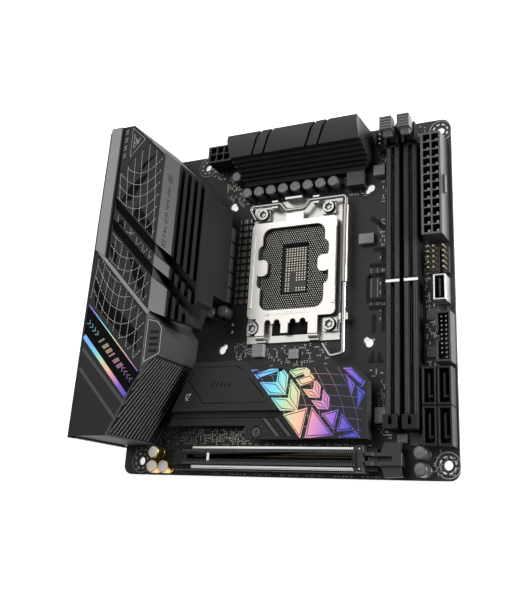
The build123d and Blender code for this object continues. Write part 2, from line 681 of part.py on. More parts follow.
bay_far = near + 51.7
bay_far_right = near + 47.5
with BuildPart() as drive_heatsink:
    lower = [
        (-41.0, bay_far), (-14.5, bay_far), (-9.5, bay_far_right), (41.0, bay_far_right),
        (48.2, near + 41.0), (48.2, near + 15.8), (-13.0, near + 15.8), (-13.0, near + 22.0),
        (-55.2, near + 22.0),
    ]
    prism(lower, bay_low, bay_step)
    upper = [
        (-41.0, bay_far), (-14.5, bay_far), (-9.5, bay_far_right), (41.0, bay_far_right),
        (48.2, near + 41.0), (48.2, near + 15.8), (19.0, near + 15.8), (6.0, near + 28.4),
        (-52.2, near + 28.4),
    ]
    prism(upper, bay_step, bay_top)
    post(*drive_screw, bay_low, bay_step, 2.8, Mode.SUBTRACT)
    post(*drive_screw, bay_low, bay_low + 1.0, 2.8)
    post(*drive_screw, bay_low, bay_low + 1.0, 1.3, Mode.SUBTRACT)
drive_heatsink.part.label = "drive_heatsink"
export_step(drive_heatsink.part, "parts/drive_heatsink.step")

with BuildPart() as drive_heatsink_posts:
    for x, y in (drive_screw, (44.0, near + 20.0), (-36.0, near + 26.0)):
        post(x, y, 0, bay_low, 2.0)
    post(*drive_screw, bay_low - 3.0, bay_low, 1.0, Mode.SUBTRACT)
drive_heatsink_posts.part.label = "drive_heatsink_posts"
export_step(drive_heatsink_posts.part, "parts/drive_heatsink_posts.step")

with BuildPart() as drive_heatsink_screw:
    post(*drive_screw, bay_low - 3.0, bay_low + 1.0, 1.0)
    post(*drive_screw, bay_low + 1.0, bay_low + 2.4, 2.3)
    slab((drive_screw[0] - 1.3, drive_screw[1] - 0.25, bay_low + 1.7),
         (drive_screw[0] + 1.3, drive_screw[1] + 0.25, bay_low + 2.4), Mode.SUBTRACT)
    slab((drive_screw[0] - 0.25, drive_screw[1] - 1.3, bay_low + 1.7),
         (drive_screw[0] + 0.25, drive_screw[1] + 1.3, bay_low + 2.4), Mode.SUBTRACT)
drive_heatsink_screw.part.label = "drive_heatsink_screw"
export_step(drive_heatsink_screw.part, "parts/drive_heatsink_screw.step")

# ---------------------------------------------------------------- rear connectors
# Each port is a body behind the shield; its mouth passes through the shield's cut-out.
usb_stacks_y = (47.0, 30.0, -37.0)
usb_width = 14.6
usb_stack_height = 15.8
display_y = 71.0
network_y = 11.5
usb_c_y = -5.0
audio_y = -58.0
audio_centres_z = (6.0, 18.0, 30.0)
audio_bore = 1.8
audio_half = 5.95
button_y = 59.0
button_z = 12.0
button_radius = 2.2
antenna_y = -20.0
antenna_centres_z = (8.5, 22.0)
antenna_radius = 3.1

with BuildPart() as usb_a_ports:
    for y in usb_stacks_y:
        slab((port_face, y - usb_width / 2, 0), (rear + 12.5, y + usb_width / 2, usb_stack_height))
        for z in (4.4, 11.6):
            slab((port_face, y - 6.6, z - 2.9), (port_face + 12.0, y + 6.6, z + 2.9), Mode.SUBTRACT)
            slab((port_face + 1.0, y - 5.6, z + 0.4), (port_face + 12.0, y + 5.6, z + 2.2))
usb_a_ports.part.label = "usb_a_ports"
export_step(usb_a_ports.part, "parts/usb_a_ports.step")

with BuildPart() as hdmi_port:
    slab((port_face, display_y - 8.0, 0), (rear + 9.0, display_y + 8.0, 7.2))
    slab((port_face, display_y - 7.1, 1.0), (port_face + 9.0, display_y + 7.1, 6.2), Mode.SUBTRACT)
    slab((port_face + 1.0, display_y - 5.4, 3.0), (port_face + 9.0, display_y + 5.4, 4.4))
hdmi_port.part.label = "hdmi_port"
export_step(hdmi_port.part, "parts/hdmi_port.step")

with BuildPart() as display_port:
    slab((port_face, display_y - 8.8, 7.5), (rear + 11.0, display_y + 8.8, 15.0))
    slab((port_face, display_y - 8.0, 8.6), (port_face + 10.0, display_y + 8.0, 13.8), Mode.SUBTRACT)
    slab((port_face + 1.0, display_y - 6.4, 10.6), (port_face + 10.0, display_y + 6.4, 12.0))
display_port.part.label = "display_port"
export_step(display_port.part, "parts/display_port.step")

network_low = 2.2
with BuildPart() as network_jack:
    slab((port_face, network_y - 8.0, 0), (rear + 14.0, network_y + 8.0, 13.4))
    slab((port_face, network_y - 6.0, network_low), (port_face + 12.5, network_y + 6.0, network_low + 8.0),
         Mode.SUBTRACT)
    slab((port_face, network_y - 3.2, network_low + 8.0), (port_face + 12.5, network_y + 3.2, 11.4),
         Mode.SUBTRACT)
network_jack.part.label = "network_jack"
export_step(network_jack.part, "parts/network_jack.step")

with BuildPart() as usb_c_port:
    with BuildSketch(Plane.YZ.offset(port_face)):
        with Locations((usb_c_y, board_thickness + 2.2)):
            RectangleRounded(10.4, 4.2, 1.6)
            RectangleRounded(8.9, 3.2, 1.4, mode=Mode.SUBTRACT)
    extrude(amount=9.0)
    slab((port_face + 9.0, usb_c_y - 5.2, 0.1), (port_face + 10.0, usb_c_y + 5.2, 4.3))
    slab((port_face + 1.2, usb_c_y - 3.4, 1.85), (port_face + 9.0, usb_c_y + 3.4, 2.55))
usb_c_port.part.label = "usb_c_port"
export_step(usb_c_port.part, "parts/usb_c_port.step")

# Three single jacks stand on each other, each a block with a round collar.
with BuildPart() as audio_jacks:
    for z in audio_centres_z:
        slab((shield_x + shield_thickness, audio_y - 7.0, z - audio_half),
             (rear + 10.0, audio_y + 7.0, z + audio_half))
        rod_x(port_face - 0.4, shield_x + shield_thickness + 0.4, audio_y, z, 4.2)
        rod_x(port_face - 0.4, port_face + 13.0, audio_y, z, audio_bore, Mode.SUBTRACT)
audio_jacks.part.label = "audio_jacks"
export_step(audio_jacks.part, "parts/audio_jacks.step")

with BuildPart() as wireless_module:
    slab((rear + 1.0, antenna_y - 9.0, 0), (rear + 5.0, antenna_y + 9.0, 30.0))
wireless_module.part.label = "wireless_module"
export_step(wireless_module.part, "parts/wireless_module.step")

with BuildPart() as antenna_posts:
    for z in antenna_centres_z:
        rod_x(rear - 12.0, rear - 4.6, antenna_y, z, antenna_radius)
        rod_x(rear - 4.6, rear + 1.0, antenna_y, z, antenna_radius + 0.7)
antenna_posts.part.label = "antenna_posts"
export_step(antenna_posts.part, "parts/antenna_posts.step")

with BuildPart() as button_switch:
    slab((rear + 0.6, button_y - 3.2, 8.0), (rear + 5.0, button_y + 3.2, 16.0))
    slab((rear + 3.0, button_y - 3.2, 0), (rear + 5.0, button_y + 3.2, 8.0))
button_switch.part.label = "button_switch"
export_step(button_switch.part, "parts/button_switch.step")

button_travel = 0.6
with BuildPart() as firmware_button:
    rod_x(shield_x - 1.0, rear + 0.6 - button_travel - 0.1, button_y, button_z, button_radius)
firmware_button.part.label = "firmware_button"
export_step(firmware_button.part, "parts/firmware_button.step")

with BuildPart() as rear_shield:
    y_low = aperture_y - aperture_width / 2
    y_high = aperture_y + aperture_width / 2
    slab((shield_x, y_low, shield_low), (shield_x + shield_thickness, y_high, shield_high))
    for y in (y_low, y_high - shield_thickness):
        slab((shield_x, y, shield_low),
             (rear - clearance, y + shield_thickness, cover_height - cover_wall - clearance))
    through = (shield_x - 1, shield_x + 2)
    for y in usb_stacks_y:
        slab((through[0], y - usb_width / 2 - clearance, -clearance),
             (through[1], y + usb_width / 2 + clearance, usb_stack_height + clearance), Mode.SUBTRACT)
    slab((through[0], display_y - 8.0 - clearance, -clearance),
         (through[1], display_y + 8.0 + clearance, 7.4), Mode.SUBTRACT)
    slab((through[0], display_y - 8.8 - clearance, 7.4),
         (through[1], display_y + 8.8 + clearance, 15.0 + clearance), Mode.SUBTRACT)
    slab((through[0], network_y - 8.0 - clearance, -clearance),
         (through[1], network_y + 8.0 + clearance, 13.4 + clearance), Mode.SUBTRACT)
    slab((through[0], usb_c_y - 5.2 - clearance, -clearance),
         (through[1], usb_c_y + 5.2 + clearance, 4.3 + clearance), Mode.SUBTRACT)
    for z in audio_centres_z:
        rod_x(*through, audio_y, z, 4.2 + clearance, Mode.SUBTRACT)
    for z in antenna_centres_z:
        rod_x(*through, antenna_y, z, antenna_radius + 0.7 + clearance, Mode.SUBTRACT)
    rod_x(*through, button_y, button_z, button_radius + clearance, Mode.SUBTRACT)
rear_shield.part.label = "rear_shield"
export_step(rear_shield.part, "parts/rear_shield.step")

# ---------------------------------------------------------------- rear cover
cover_x = shield_x + shield_thickness
cover_near = -71.4
cover_far = 88.4
cover_low = 0.8
badge_top_x = rear + 33.2
badge_low_x = rear + 37.4
badge_low_z = fin_top
cover_outline = [
    (cover_x, cover_near), (rear + 17.5, cover_near), (rear + 36.8, -33.0), (badge_low_x, -19.5),
    (strip_x - clearance, -14.4), (strip_x - clearance, 68.4), (rear + 11.7, cover_far),
    (cover_x, cover_far),
]


def bevel_wedge(inset):
    """Cut the long top edge above the bevelled badge plane, moved inwards by inset."""
    with BuildSketch(Plane.XZ.offset(100)) as wedge:
        with BuildLine():
            Polyline(
                (badge_top_x - inset, cover_height + board_thickness),
                (badge_low_x - inset, badge_low_z + board_thickness),
                (badge_low_x + 20, badge_low_z + board_thickness),
                (badge_low_x + 20, cover_height + 20),
                (badge_top_x - inset, cover_height + 20),
                close=True,
            )
        make_face()
    extrude(wedge.sketch, amount=-200, mode=Mode.SUBTRACT)


with BuildPart() as cover_core:
    with BuildSketch(Plane.XY.offset(board_thickness + cover_low - 1)):
        with BuildLine():
            Polyline(*cover_outline, close=True)
        make_face()
        offset(amount=-cover_wall, kind=Kind.INTERSECTION)
    extrude(amount=cover_height - cover_wall - cover_low + 1)
    slab((cover_x - 1, cover_near + cover_wall, cover_low - 1),
         (cover_x + cover_wall + 1, cover_far - cover_wall, cover_height - cover_wall))
    bevel_wedge(2.4)

with BuildPart() as rear_cover:
    prism(cover_outline, cover_low, cover_height)
    bevel_wedge(0)
    add(cover_core.part, mode=Mode.SUBTRACT)
    # rim along the rear edge, from the far corner to where the slanting rib starts
    rim = [
        (cover_x, 20.0), (rear + 4.4, 15.4), (rear + 4.4, cover_far), (cover_x, cover_far),
    ]
    prism(rim, cover_height, cover_height + 0.7)
    # two shallow slanting channels across the top
    for slash in slash_offsets:
        diagonal_cut(slash, rear + 5.6, strip_x + 1, slash_width, cover_height - 1.1, cover_height + 0.2)
rear_cover.part.label = "rear_cover"
export_step(rear_cover.part, "parts/rear_cover.step")

with BuildPart() as coin_cell_holder:
    slab((rear + 20.0, 18.0, 0), (rear + 27.0, 42.0, 9.0))
    slab((rear + 21.8, 19.4, 1.0), (rear + 25.2, 40.6, 9.0), Mode.SUBTRACT)
coin_cell_holder.part.label = "coin_cell_holder"
export_step(coin_cell_holder.part, "parts/coin_cell_holder.step")

with BuildPart() as coin_cell:
    rod_x(rear + 21.9, rear + 25.1, 30.0, 11.0, 10.0)
coin_cell.part.label = "coin_cell"
export_step(coin_cell.part, "parts/coin_cell.step")

# ---------------------------------------------------------------- front-edge connectors
storage_width = 6.2
storage_length = 16.4
storage_height = 8.6
storage_at = [
    (front - 10.4, near + 38.4), (front - 3.7, near + 38.4),
    (front - 10.4, near + 21.6), (front - 3.7, near + 21.6),
]
with BuildPart() as storage_connectors:
    for x, y in storage_at:
        half_x = storage_width / 2
        half_y = storage_length / 2
        slab((x - half_x, y - half_y, 0), (x + half_x, y + half_y, storage_height))
        slab((x - half_x + 0.9, y - half_y + 1.0, 1.6), (x + half_x - 0.9, y + half_y - 1.0, storage_height),
             Mode.SUBTRACT)
        # L-shaped tongue
        slab((x - 0.5, y - 5.2, 1.6), (x + 0.6, y + 5.2, storage_height - 0.8))
        slab((x - 0.5, y - 5.2, 1.6), (x + 1.7, y - 4.0, storage_height - 0.8))
storage_connectors.part.label = "storage_connectors"
export_step(storage_connectors.part, "parts/storage_connectors.step")

usb_header = (front - 3.4, -25.4)
usb_header_height = 8.8
with BuildPart() as usb_front_header:
    x, y = usb_header
    slab((x - 3.6, y - 11.2, 0), (x + 3.2, y + 11.2, usb_header_height))
    slab((x - 2.7, y - 10.2, 1.8), (x + 2.3, y + 10.2, usb_header_height), Mode.SUBTRACT)
    slab((x - 3.6, y - 1.8, 4.0), (x - 2.6, y + 1.8, usb_header_height), Mode.SUBTRACT)
    for row in range(10):
        for column in range(2):
            if row + column:
                pin_x = x - 0.2 + (column - 0.5) * 2.0
                pin_y = y + (row - 4.5) * 2.0
                slab((pin_x - 0.25, pin_y - 0.25, 1.8), (pin_x + 0.25, pin_y + 0.25, 7.0))
usb_front_header.part.label = "usb_front_header"
export_step(usb_front_header.part, "parts/usb_front_header.step")

usb_c_header_at = (front - 4.8, -3.2)
with BuildPart() as usb_c_front_header:
    x, y = usb_c_header_at
    slab((x - 2.8, y - 5.9, 0), (x + 2.8, y + 5.9, 9.0))
    slab((x - 2.2, y - 5.2, 1.4), (x + 2.2, y + 5.2, 9.0), Mode.SUBTRACT)
    slab((x - 0.4, y - 4.2, 1.4), (x + 0.4, y + 4.2, 7.8))
usb_c_front_header.part.label = "usb_c_front_header"
export_step(usb_c_front_header.part, "parts/usb_c_front_header.step")


def pin_header(x, y, columns, rows):
    """A plastic base with square pins on a 2.54 mm pitch."""
    pitch = 2.54
    half_x = columns * pitch / 2
    half_y = rows * pitch / 2
    slab((x - half_x, y - half_y, 0), (x + half_x, y + half_y, 2.5))
    for column in range(columns):
        for row in range(rows):
            pin_x = x + (column - (columns - 1) / 2) * pitch
            pin_y = y + (row - (rows - 1) / 2) * pitch
            slab((pin_x - 0.32, pin_y - 0.32, 2.5), (pin_x + 0.32, pin_y + 0.32, 8.6))


with BuildPart() as pin_headers:
    pin_header(front - 8.6, 11.4, 2, 5)
    pin_header(front - 2.9, 11.4, 1, 5)
pin_headers.part.label = "pin_headers"
export_step(pin_headers.part, "parts/pin_headers.step")

fan_header_at = (front - 33.4, far - 8.4)
with BuildPart() as fan_header:
    x, y = fan_header_at
    slab((x - 1.6, y - 5.1, 0), (x + 1.6, y + 5.1, 3.2))
    slab((x - 2.6, y - 3.4, 0), (x - 1.6, y + 3.4, 8.4))
    for pin in range(4):
        pin_y = y + (pin - 1.5) * 2.54
        slab((x - 0.32, pin_y - 0.32, 3.2), (x + 0.32, pin_y + 0.32, 8.4))
fan_header.part.label = "fan_header"
export_step(fan_header.part, "parts/fan_header.step")

# ---------------------------------------------------------------- chips and inductors
chips_at = [
    (-30.0, near + 43.0, 3.0, 3.0, 1.0), (front - 10.0, -13.4, 2.4, 2.8, 0.9),
    (front - 10.0, -30.4, 2.6, 2.6, 0.9), (rear + 27.6, near + 14.0, 3.0, 2.4, 1.0),
    (front - 19.0, near + 16.9, 2.2, 2.8, 0.9),
]
with BuildPart() as controller_chips:
    for x, y, half_x, half_y, height in chips_at:
        slab((x - half_x, y - half_y, 0), (x + half_x, y + half_y, height))
controller_chips.part.label = "controller_chips"
export_step(controller_chips.part, "parts/controller_chips.step")

inductors_at = [
    (-12.3, -26.4, 3.2, 3.2, 2.6), (6.6, -28.8, 2.4, 2.4, 2.2), (49.6, far - 24.0, 3.0, 2.8, 3.2),
    (43.2, socket_y + 11.6, 3.9, 2.6, 2.8),
    (memory_a_x - memory_width / 2 - 3.4, near + 26.8, 3.0, 3.4, 4.2),
    (front - 24.0, near + 17.0, 2.4, 1.8, 3.0),
]
with BuildPart() as small_inductors:
    for x, y, half_x, half_y, height in inductors_at:
        slab((x - half_x, y - half_y, 0), (x + half_x, y + half_y, height))
small_inductors.part.label = "small_inductors"
export_step(small_inductors.part, "parts/small_inductors.step")

# ---------------------------------------------------------------- solder joints under the board
with BuildPart() as solder_joints:
    tails = list(header_cells(main_power, 2, 12))[::3]
    tails += list(header_cells(cpu_power, 4, 2))[1::2]
    tails += [(memory_a_x, near + 26.0 + 16.0 * i) for i in range(8)]
    tails += [(slot_left + 8.0 + 15.0 * i, slot_y) for i in range(6)]
    tails += [(rear + 4.0, y) for y in (-62.0, -37.0, 11.5, 30.0, 47.0, 71.0)]
    for x, y in tails:
        with BuildSketch(Plane.XY.offset(-tail_length)):
            with Locations((x, y)):
                Circle(0.5)
        with BuildSketch(Plane.XY):
            with Locations((x, y)):
                Circle(1.0)
        loft()
solder_joints.part.label = "solder_joints"
export_step(solder_joints.part, "parts/solder_joints.step")
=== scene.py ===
import json
import math

import bmesh
import bpy
import numpy as np
from mathutils import Matrix, Quaternion, Vector

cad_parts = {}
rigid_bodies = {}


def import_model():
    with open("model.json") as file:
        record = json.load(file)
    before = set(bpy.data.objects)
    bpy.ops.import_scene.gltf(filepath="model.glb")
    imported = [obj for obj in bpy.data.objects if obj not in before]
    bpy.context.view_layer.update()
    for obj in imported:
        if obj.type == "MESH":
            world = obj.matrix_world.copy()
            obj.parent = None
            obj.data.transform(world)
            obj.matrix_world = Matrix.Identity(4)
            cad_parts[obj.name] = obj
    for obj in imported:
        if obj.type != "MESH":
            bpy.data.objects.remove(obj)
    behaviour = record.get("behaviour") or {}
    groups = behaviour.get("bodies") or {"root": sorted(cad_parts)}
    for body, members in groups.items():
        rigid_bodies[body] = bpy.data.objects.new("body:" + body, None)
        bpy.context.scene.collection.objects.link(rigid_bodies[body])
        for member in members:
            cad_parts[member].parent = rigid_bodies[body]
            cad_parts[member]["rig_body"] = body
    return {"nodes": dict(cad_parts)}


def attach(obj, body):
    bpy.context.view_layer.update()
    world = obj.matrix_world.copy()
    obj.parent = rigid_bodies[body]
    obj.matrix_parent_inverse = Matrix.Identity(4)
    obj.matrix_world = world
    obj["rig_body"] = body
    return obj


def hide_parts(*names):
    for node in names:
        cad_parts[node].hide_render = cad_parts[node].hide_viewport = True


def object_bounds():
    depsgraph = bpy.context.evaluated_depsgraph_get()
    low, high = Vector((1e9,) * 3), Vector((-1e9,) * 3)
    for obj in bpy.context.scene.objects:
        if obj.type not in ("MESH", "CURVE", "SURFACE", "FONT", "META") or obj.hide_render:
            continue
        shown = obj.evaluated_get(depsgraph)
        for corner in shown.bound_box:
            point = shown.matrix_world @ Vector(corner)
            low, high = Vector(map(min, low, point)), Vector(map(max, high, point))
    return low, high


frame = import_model()
cad_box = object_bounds()

# ---------------- camera, light and floor
# The finished board lies face up on a pale, faintly glowing studio floor, seen from above its
# front corner. A soft lamp stands low at the front edge; a broad one hangs over the rear far corner.
MM = 0.001
BOARD = 1.6
WHITE = (1.0, 1.0, 1.0)
camera_turn = Vector((0.38335, 0.44798, -0.03441))
camera_place = Vector((170.74, -108.38, 350.32)) * MM
camera_data = bpy.data.cameras.new("camera")
camera_data.lens = 48.45
camera_data.shift_x = -0.0293
camera_data.shift_y = -0.1470
camera_data.clip_start = 0.01
camera = bpy.data.objects.new("camera", camera_data)
camera.matrix_world = (Matrix.Translation(camera_place)
                       @ Quaternion(camera_turn.normalized(), camera_turn.length).to_matrix().to_4x4())
bpy.context.scene.collection.objects.link(camera)
bpy.context.scene.camera = camera


def lamp(name, place, target, size, watts):
    """A square area lamp at place with its face turned to target, both in metres."""
    data = bpy.data.lights.new(name, "AREA")
    data.size = size
    data.energy = watts
    made = bpy.data.objects.new(name, data)
    direction = Vector(target) - Vector(place)
    made.matrix_world = (Matrix.Translation(Vector(place))
                         @ direction.to_track_quat("-Z", "Y").to_matrix().to_4x4())
    bpy.context.scene.collection.objects.link(made)


lamp("front_edge", (0.75, 0.06, 0.13), (0, 0, 0.01), 0.4, 19.0)
lamp("overhead", (-0.34, 0.44, 0.84), (0, 0, 0), 1.0, 6.0)
lamp("slot_side", (0.25, -0.80, 0.40), (0, 0, 0), 0.5, 0.25)

world = bpy.data.worlds.new("studio")
world.use_nodes = True
world.node_tree.nodes["Background"].inputs[0].default_value = (*WHITE, 1)
world.node_tree.nodes["Background"].inputs[1].default_value = 0.22
bpy.context.scene.world = world
bpy.context.scene.view_settings.view_transform = "Standard"


class Signal:
    """A number in a shader. Arithmetic on it adds Math nodes, so 0.5 * mask + 0.2 works."""

    def __init__(self, finish, socket):
        self.finish = finish
        self.socket = socket

    def math(self, operation, *operands):
        return self.finish.node("ShaderNodeMath", {"operation": operation}, self, *operands)

    def __add__(self, other):
        return self.math("ADD", other)

    def __sub__(self, other):
        return self.math("SUBTRACT", other)

    def __mul__(self, other):
        return self.math("MULTIPLY", other)

    def __gt__(self, other):
        return self.math("GREATER_THAN", other)

    def sine(self):
        return self.math("SINE")

    __radd__ = __add__
    __rmul__ = __mul__


class Finish:
    """A material on one Principled shader, built up node by node."""

    def __init__(self, name, **constants):
        self.material = bpy.data.materials.new(name)
        self.material.use_nodes = True
        self.tree = self.material.node_tree
        self.shader = self.tree.nodes["Principled BSDF"]
        self.set(**constants)

    def set(self, **inputs):
        for name, value in inputs.items():
            self.feed(self.shader.inputs[name.replace("_", " ")], value)

    def feed(self, socket, value):
        if isinstance(value, Signal):
            self.tree.links.new(value.socket, socket)
        elif socket.type == "RGBA" and len(value) == 3:
            socket.default_value = (*value, 1)
        else:
            socket.default_value = value

    def node(self, kind, settings=None, *inputs, out=0, **named):
        """Add a node: its settings first, then its inputs by number or name. Gives one output."""
        made = self.tree.nodes.new(kind)
        for key, value in (settings or {}).items():
            if key == "stops":
                ramp = made.color_ramp.elements
                for place, _ in value[2:]:
                    ramp.new(place)
                for element, (place, colour) in zip(ramp, value):
                    element.position = place
                    element.color = (*colour, 1)
            else:
                setattr(made, key, value)
        for key, value in [*enumerate(inputs), *named.items()]:
            self.feed(made.inputs[key if isinstance(key, int) else key.replace("_", " ")], value)
        return Signal(self, made.outputs[out])

    def place(self):
        return self.node("ShaderNodeTexCoord", out=3)

    def along(self, axis):
        """One coordinate of the point, in millimetres: 0, 1, 2 for x, y, z."""
        return self.node("ShaderNodeSeparateXYZ", None, self.place(), out=axis) * 1000.0

    def noise(self, size, detail=2.0, stretch=(1, 1, 1)):
        """Blotches about size millimetres across, longer along a stretched axis, from 0 to 1."""
        grid = tuple(part * size * MM for part in stretch)
        place = self.node("ShaderNodeVectorMath", {"operation": "DIVIDE"}, self.place(), grid)
        return self.node("ShaderNodeTexNoise", None, place, Scale=1.0, Detail=detail)

    def tint(self, factor, low, high):
        """The colour between low and high at a factor from 0 to 1."""
        made = self.tree.nodes.new("ShaderNodeMix")
        made.data_type = "RGBA"
        for number, value in ((0, factor), (6, low), (7, high)):
            self.feed(made.inputs[number], value)
        return Signal(self, made.outputs[2])

    def ramp(self, factor, *stops):
        return self.node("ShaderNodeValToRGB", {"stops": stops}, factor)

    def bump(self, height, depth):
        """Relief whose height from 0 to 1 stands for depth millimetres."""
        self.set(Normal=self.node("ShaderNodeBump", None, Strength=1.0, Distance=depth * MM, Height=height))


def share(colour, part):
    """A colour times a part of it."""
    return tuple(channel * part for channel in colour)


def moulded(name, colour, roughness, grain=0.18, depth=0.012, spread=0.35, shine=0.5, **constants):
    """Moulded or powder-coated surface: fine grain in relief, broad cloudiness in tone and sheen."""
    finish = Finish(name, Specular_IOR_Level=shine, **constants)
    fine = finish.noise(grain, 3)
    cloud = finish.noise(14, 3)
    finish.set(Base_Color=finish.tint(cloud * 0.5 + fine * 0.5, share(colour, 1 - spread),
                                      share(colour, 1 + spread)),
               Roughness=roughness - 0.05 + 0.1 * cloud)
    finish.bump(fine, depth)
    return finish.material


def brushed(name, colour, roughness, strokes=(40, 1, 1), depth=0.004, spread=0.12, **constants):
    """Drawn or brushed metal: noise stretched along the strokes, under broad soft smears."""
    constants.setdefault("Metallic", 1.0)
    finish = Finish(name, **constants)
    stroke = finish.noise(0.16, 3, strokes)
    smear = finish.noise(9, 3)
    finish.set(Base_Color=finish.tint(stroke * 0.6 + smear * 0.4, share(colour, 1 - spread),
                                      share(colour, 1 + spread)),
               Roughness=roughness - 0.06 + 0.08 * stroke + 0.06 * smear)
    finish.bump(stroke, depth)
    return finish.material


def mesh_piece(name, points, faces, material, body="board", slot=None, smooth=False, place=None):
    """A mesh from points in millimetres, heights counted from the board's top, riding on a body.
    A place function carries points made on the flat to where they belong."""
    mesh = bpy.data.meshes.new(name)
    points = np.asarray(points, float).reshape(-1, 3)
    lifted = ((place(points) if place else points) + (0, 0, BOARD)) * MM
    mesh.from_pydata(lifted.tolist(), [], faces if isinstance(faces, list) else faces.tolist())
    mesh.materials.append(material)
    mesh.polygons.foreach_set("use_smooth", [smooth] * len(mesh.polygons))
    mesh.update()
    made = bpy.data.objects.new(name, mesh)
    bpy.context.scene.collection.objects.link(made)
    if body:
        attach(made, body)
    return made


floor_finish = Finish("studio_floor", Specular_IOR_Level=0.05, Emission_Color=(*WHITE, 1),
                      Emission_Strength=0.75)
floor_finish.set(Base_Color=floor_finish.tint(floor_finish.noise(60), share(WHITE, 0.88), share(WHITE, 0.92)),
                 Roughness=0.8 + 0.1 * floor_finish.noise(3))
floor_up = cad_box[0][2] / MM - BOARD - 0.02
far = 2500
floor = mesh_piece("floor", [(-far, -far, floor_up), (far, -far, floor_up), (far, far, floor_up),
                             (-far, far, floor_up)], [(0, 1, 2, 3)], floor_finish.material, body=None)

# ---------------- bare board
# The board is glass and resin laminate under a near-black matt mask, printed with pale marks.
# The mask shows fine slanting hatching and the traces under it as a faint relief.
mask = Finish("board_mask", Specular_IOR_Level=0.35)
slant = mask.along(0) + mask.along(1)
hatch = (slant * 9.0).sine() * 0.5 + 0.5
trace = ((mask.along(0) * 4.4).sine() > 0.55) * (mask.noise(9, 1) > 0.52)
cloud = mask.noise(20, 3)
mask.set(Base_Color=mask.tint(hatch * 0.4 + cloud * 0.4 + trace * 0.25, (0.0045, 0.0047, 0.005),
                              (0.024, 0.025, 0.027)),
         Roughness=0.42 + 0.14 * cloud)
mask.bump(trace * 0.7 + hatch * 0.3, 0.02)
frame["nodes"]["pcb"].data.materials[0] = mask.material


def boxes(name, centres, halves, material, lean=(0, 0), **where):
    """Many small boxes as one piece: centre plus or minus half, the top corners moved by lean."""
    signs = np.array([(x, y, z) for x in (-1, 1) for y in (-1, 1) for z in (-1, 1)], float)
    corners = np.asarray(centres, float)[:, None] + signs * np.asarray(halves, float).reshape(-1, 1, 3)
    corners[:, 1::2, :2] += lean
    sides = np.array([(0, 1, 3, 2), (4, 6, 7, 5), (0, 4, 5, 1), (2, 3, 7, 6), (0, 2, 6, 4), (1, 5, 7, 3)])
    faces = (sides[None] + 8 * np.arange(len(corners))[:, None, None]).reshape(-1, 4)
    return mesh_piece(name, corners, faces, material, **where)


def ribbons(name, paths, width, low, high, material, closed=False, **where):
    """Flat bands of one width: a rectangle from low to high carried along each path, mitred
    at the corners, where the band is wider by the secant of half the turn."""
    points, faces, start = [], [], 0
    for path in paths:
        path = np.asarray(path, float)
        ahead = np.roll(path, -1, 0) - path
        back = np.roll(ahead, 1, 0)
        if not closed:
            ahead[-1] = ahead[-2]
            back[0] = ahead[0]
        unit_ahead = ahead / np.linalg.norm(ahead, axis=1)[:, None]
        unit_back = back / np.linalg.norm(back, axis=1)[:, None]
        side = np.stack([-unit_ahead[:, 1] - unit_back[:, 1], unit_ahead[:, 0] + unit_back[:, 0]], 1)
        side *= width / np.maximum((side ** 2).sum(1), 0.8)[:, None]
        count = len(path)
        ring = np.zeros((count, 4, 3))
        ring[:, (0, 3), :2] = (path - side)[:, None]
        ring[:, (1, 2), :2] = (path + side)[:, None]
        ring[:, :2, 2] = low
        ring[:, 2:, 2] = high
        points.append(ring.reshape(-1, 3))
        for i in range(count if closed else count - 1):
            here, there = start + 4 * i, start + 4 * ((i + 1) % count)
            faces += [(here + k, here + (k + 1) % 4, there + (k + 1) % 4, there + k) for k in range(4)]
        if not closed:
            last = start + 4 * (count - 1)
            faces += [(start, start + 3, start + 2, start + 1), (last, last + 1, last + 2, last + 3)]
        start += 4 * count
    return mesh_piece(name, np.concatenate(points), faces, material, **where)


def plates(name, outlines, low, high, material, **where):
    """Flat plates: each plan outline, given anticlockwise, raised from low to high."""
    points, faces, start = [], [], 0
    for outline in outlines:
        count = len(outline)
        points += [(x, y, low) for x, y in outline] + [(x, y, high) for x, y in outline]
        faces.append([start + i for i in reversed(range(count))])
        faces.append([start + count + i for i in range(count)])
        for i in range(count):
            j = (i + 1) % count
            faces.append((start + i, start + j, start + count + j, start + count + i))
        start += 2 * count
    return mesh_piece(name, points, faces, material, **where)


def flat(name, shapes, ink, face, width=None, low=0.0, high=0.03, **where):
    """Prints and thin raised shapes on a face, which is given as its height and its slot (the slot is not
    used): bands of one width along paths, or filled outlines where there is no width."""
    height, slot = face
    if width:
        return ribbons(name, shapes, width, height + low, height + high, ink, slot=slot, **where)
    return plates(name, shapes, height + low, height + high, ink, slot=slot, **where)


def turned(name, centres, profile, sides, material, smooth=True, **where):
    """Round posts or cones: a profile of (radius, height) spun about an upright axis at each centre."""
    angle = np.arange(sides) * 2 * np.pi / sides
    radius, height = np.array(profile, float).T
    ring = np.stack([radius[:, None] * np.cos(angle), radius[:, None] * np.sin(angle),
                     height[:, None] + 0 * angle], 2)
    points = np.asarray(centres, float)[:, None, None] + ring[None]
    rings, faces = len(profile), []
    for n in range(len(centres)):
        base = n * rings * sides
        for r in range(rings - 1):
            for s in range(sides):
                a, b = base + r * sides + s, base + r * sides + (s + 1) % sides
                faces.append((a, b, b + sides, a + sides))
        faces.append([base + s for s in reversed(range(sides))])
        faces.append([base + (rings - 1) * sides + s for s in range(sides)])
    made = mesh_piece(name, points, faces, material, smooth=smooth, **where)
    made.data.set_sharp_from_angle(angle=math.radians(35))
    return made


def circle(x, y, radius, count=28, start=0.0, stop=1.0):
    """Points on an arc, as shares of a full turn."""
    gaps = count if stop - start == 1 else count - 1
    turn = (start + (stop - start) * np.arange(count) / gaps) * 2 * np.pi
    return np.stack([x + radius * np.cos(turn), y + radius * np.sin(turn)], 1)


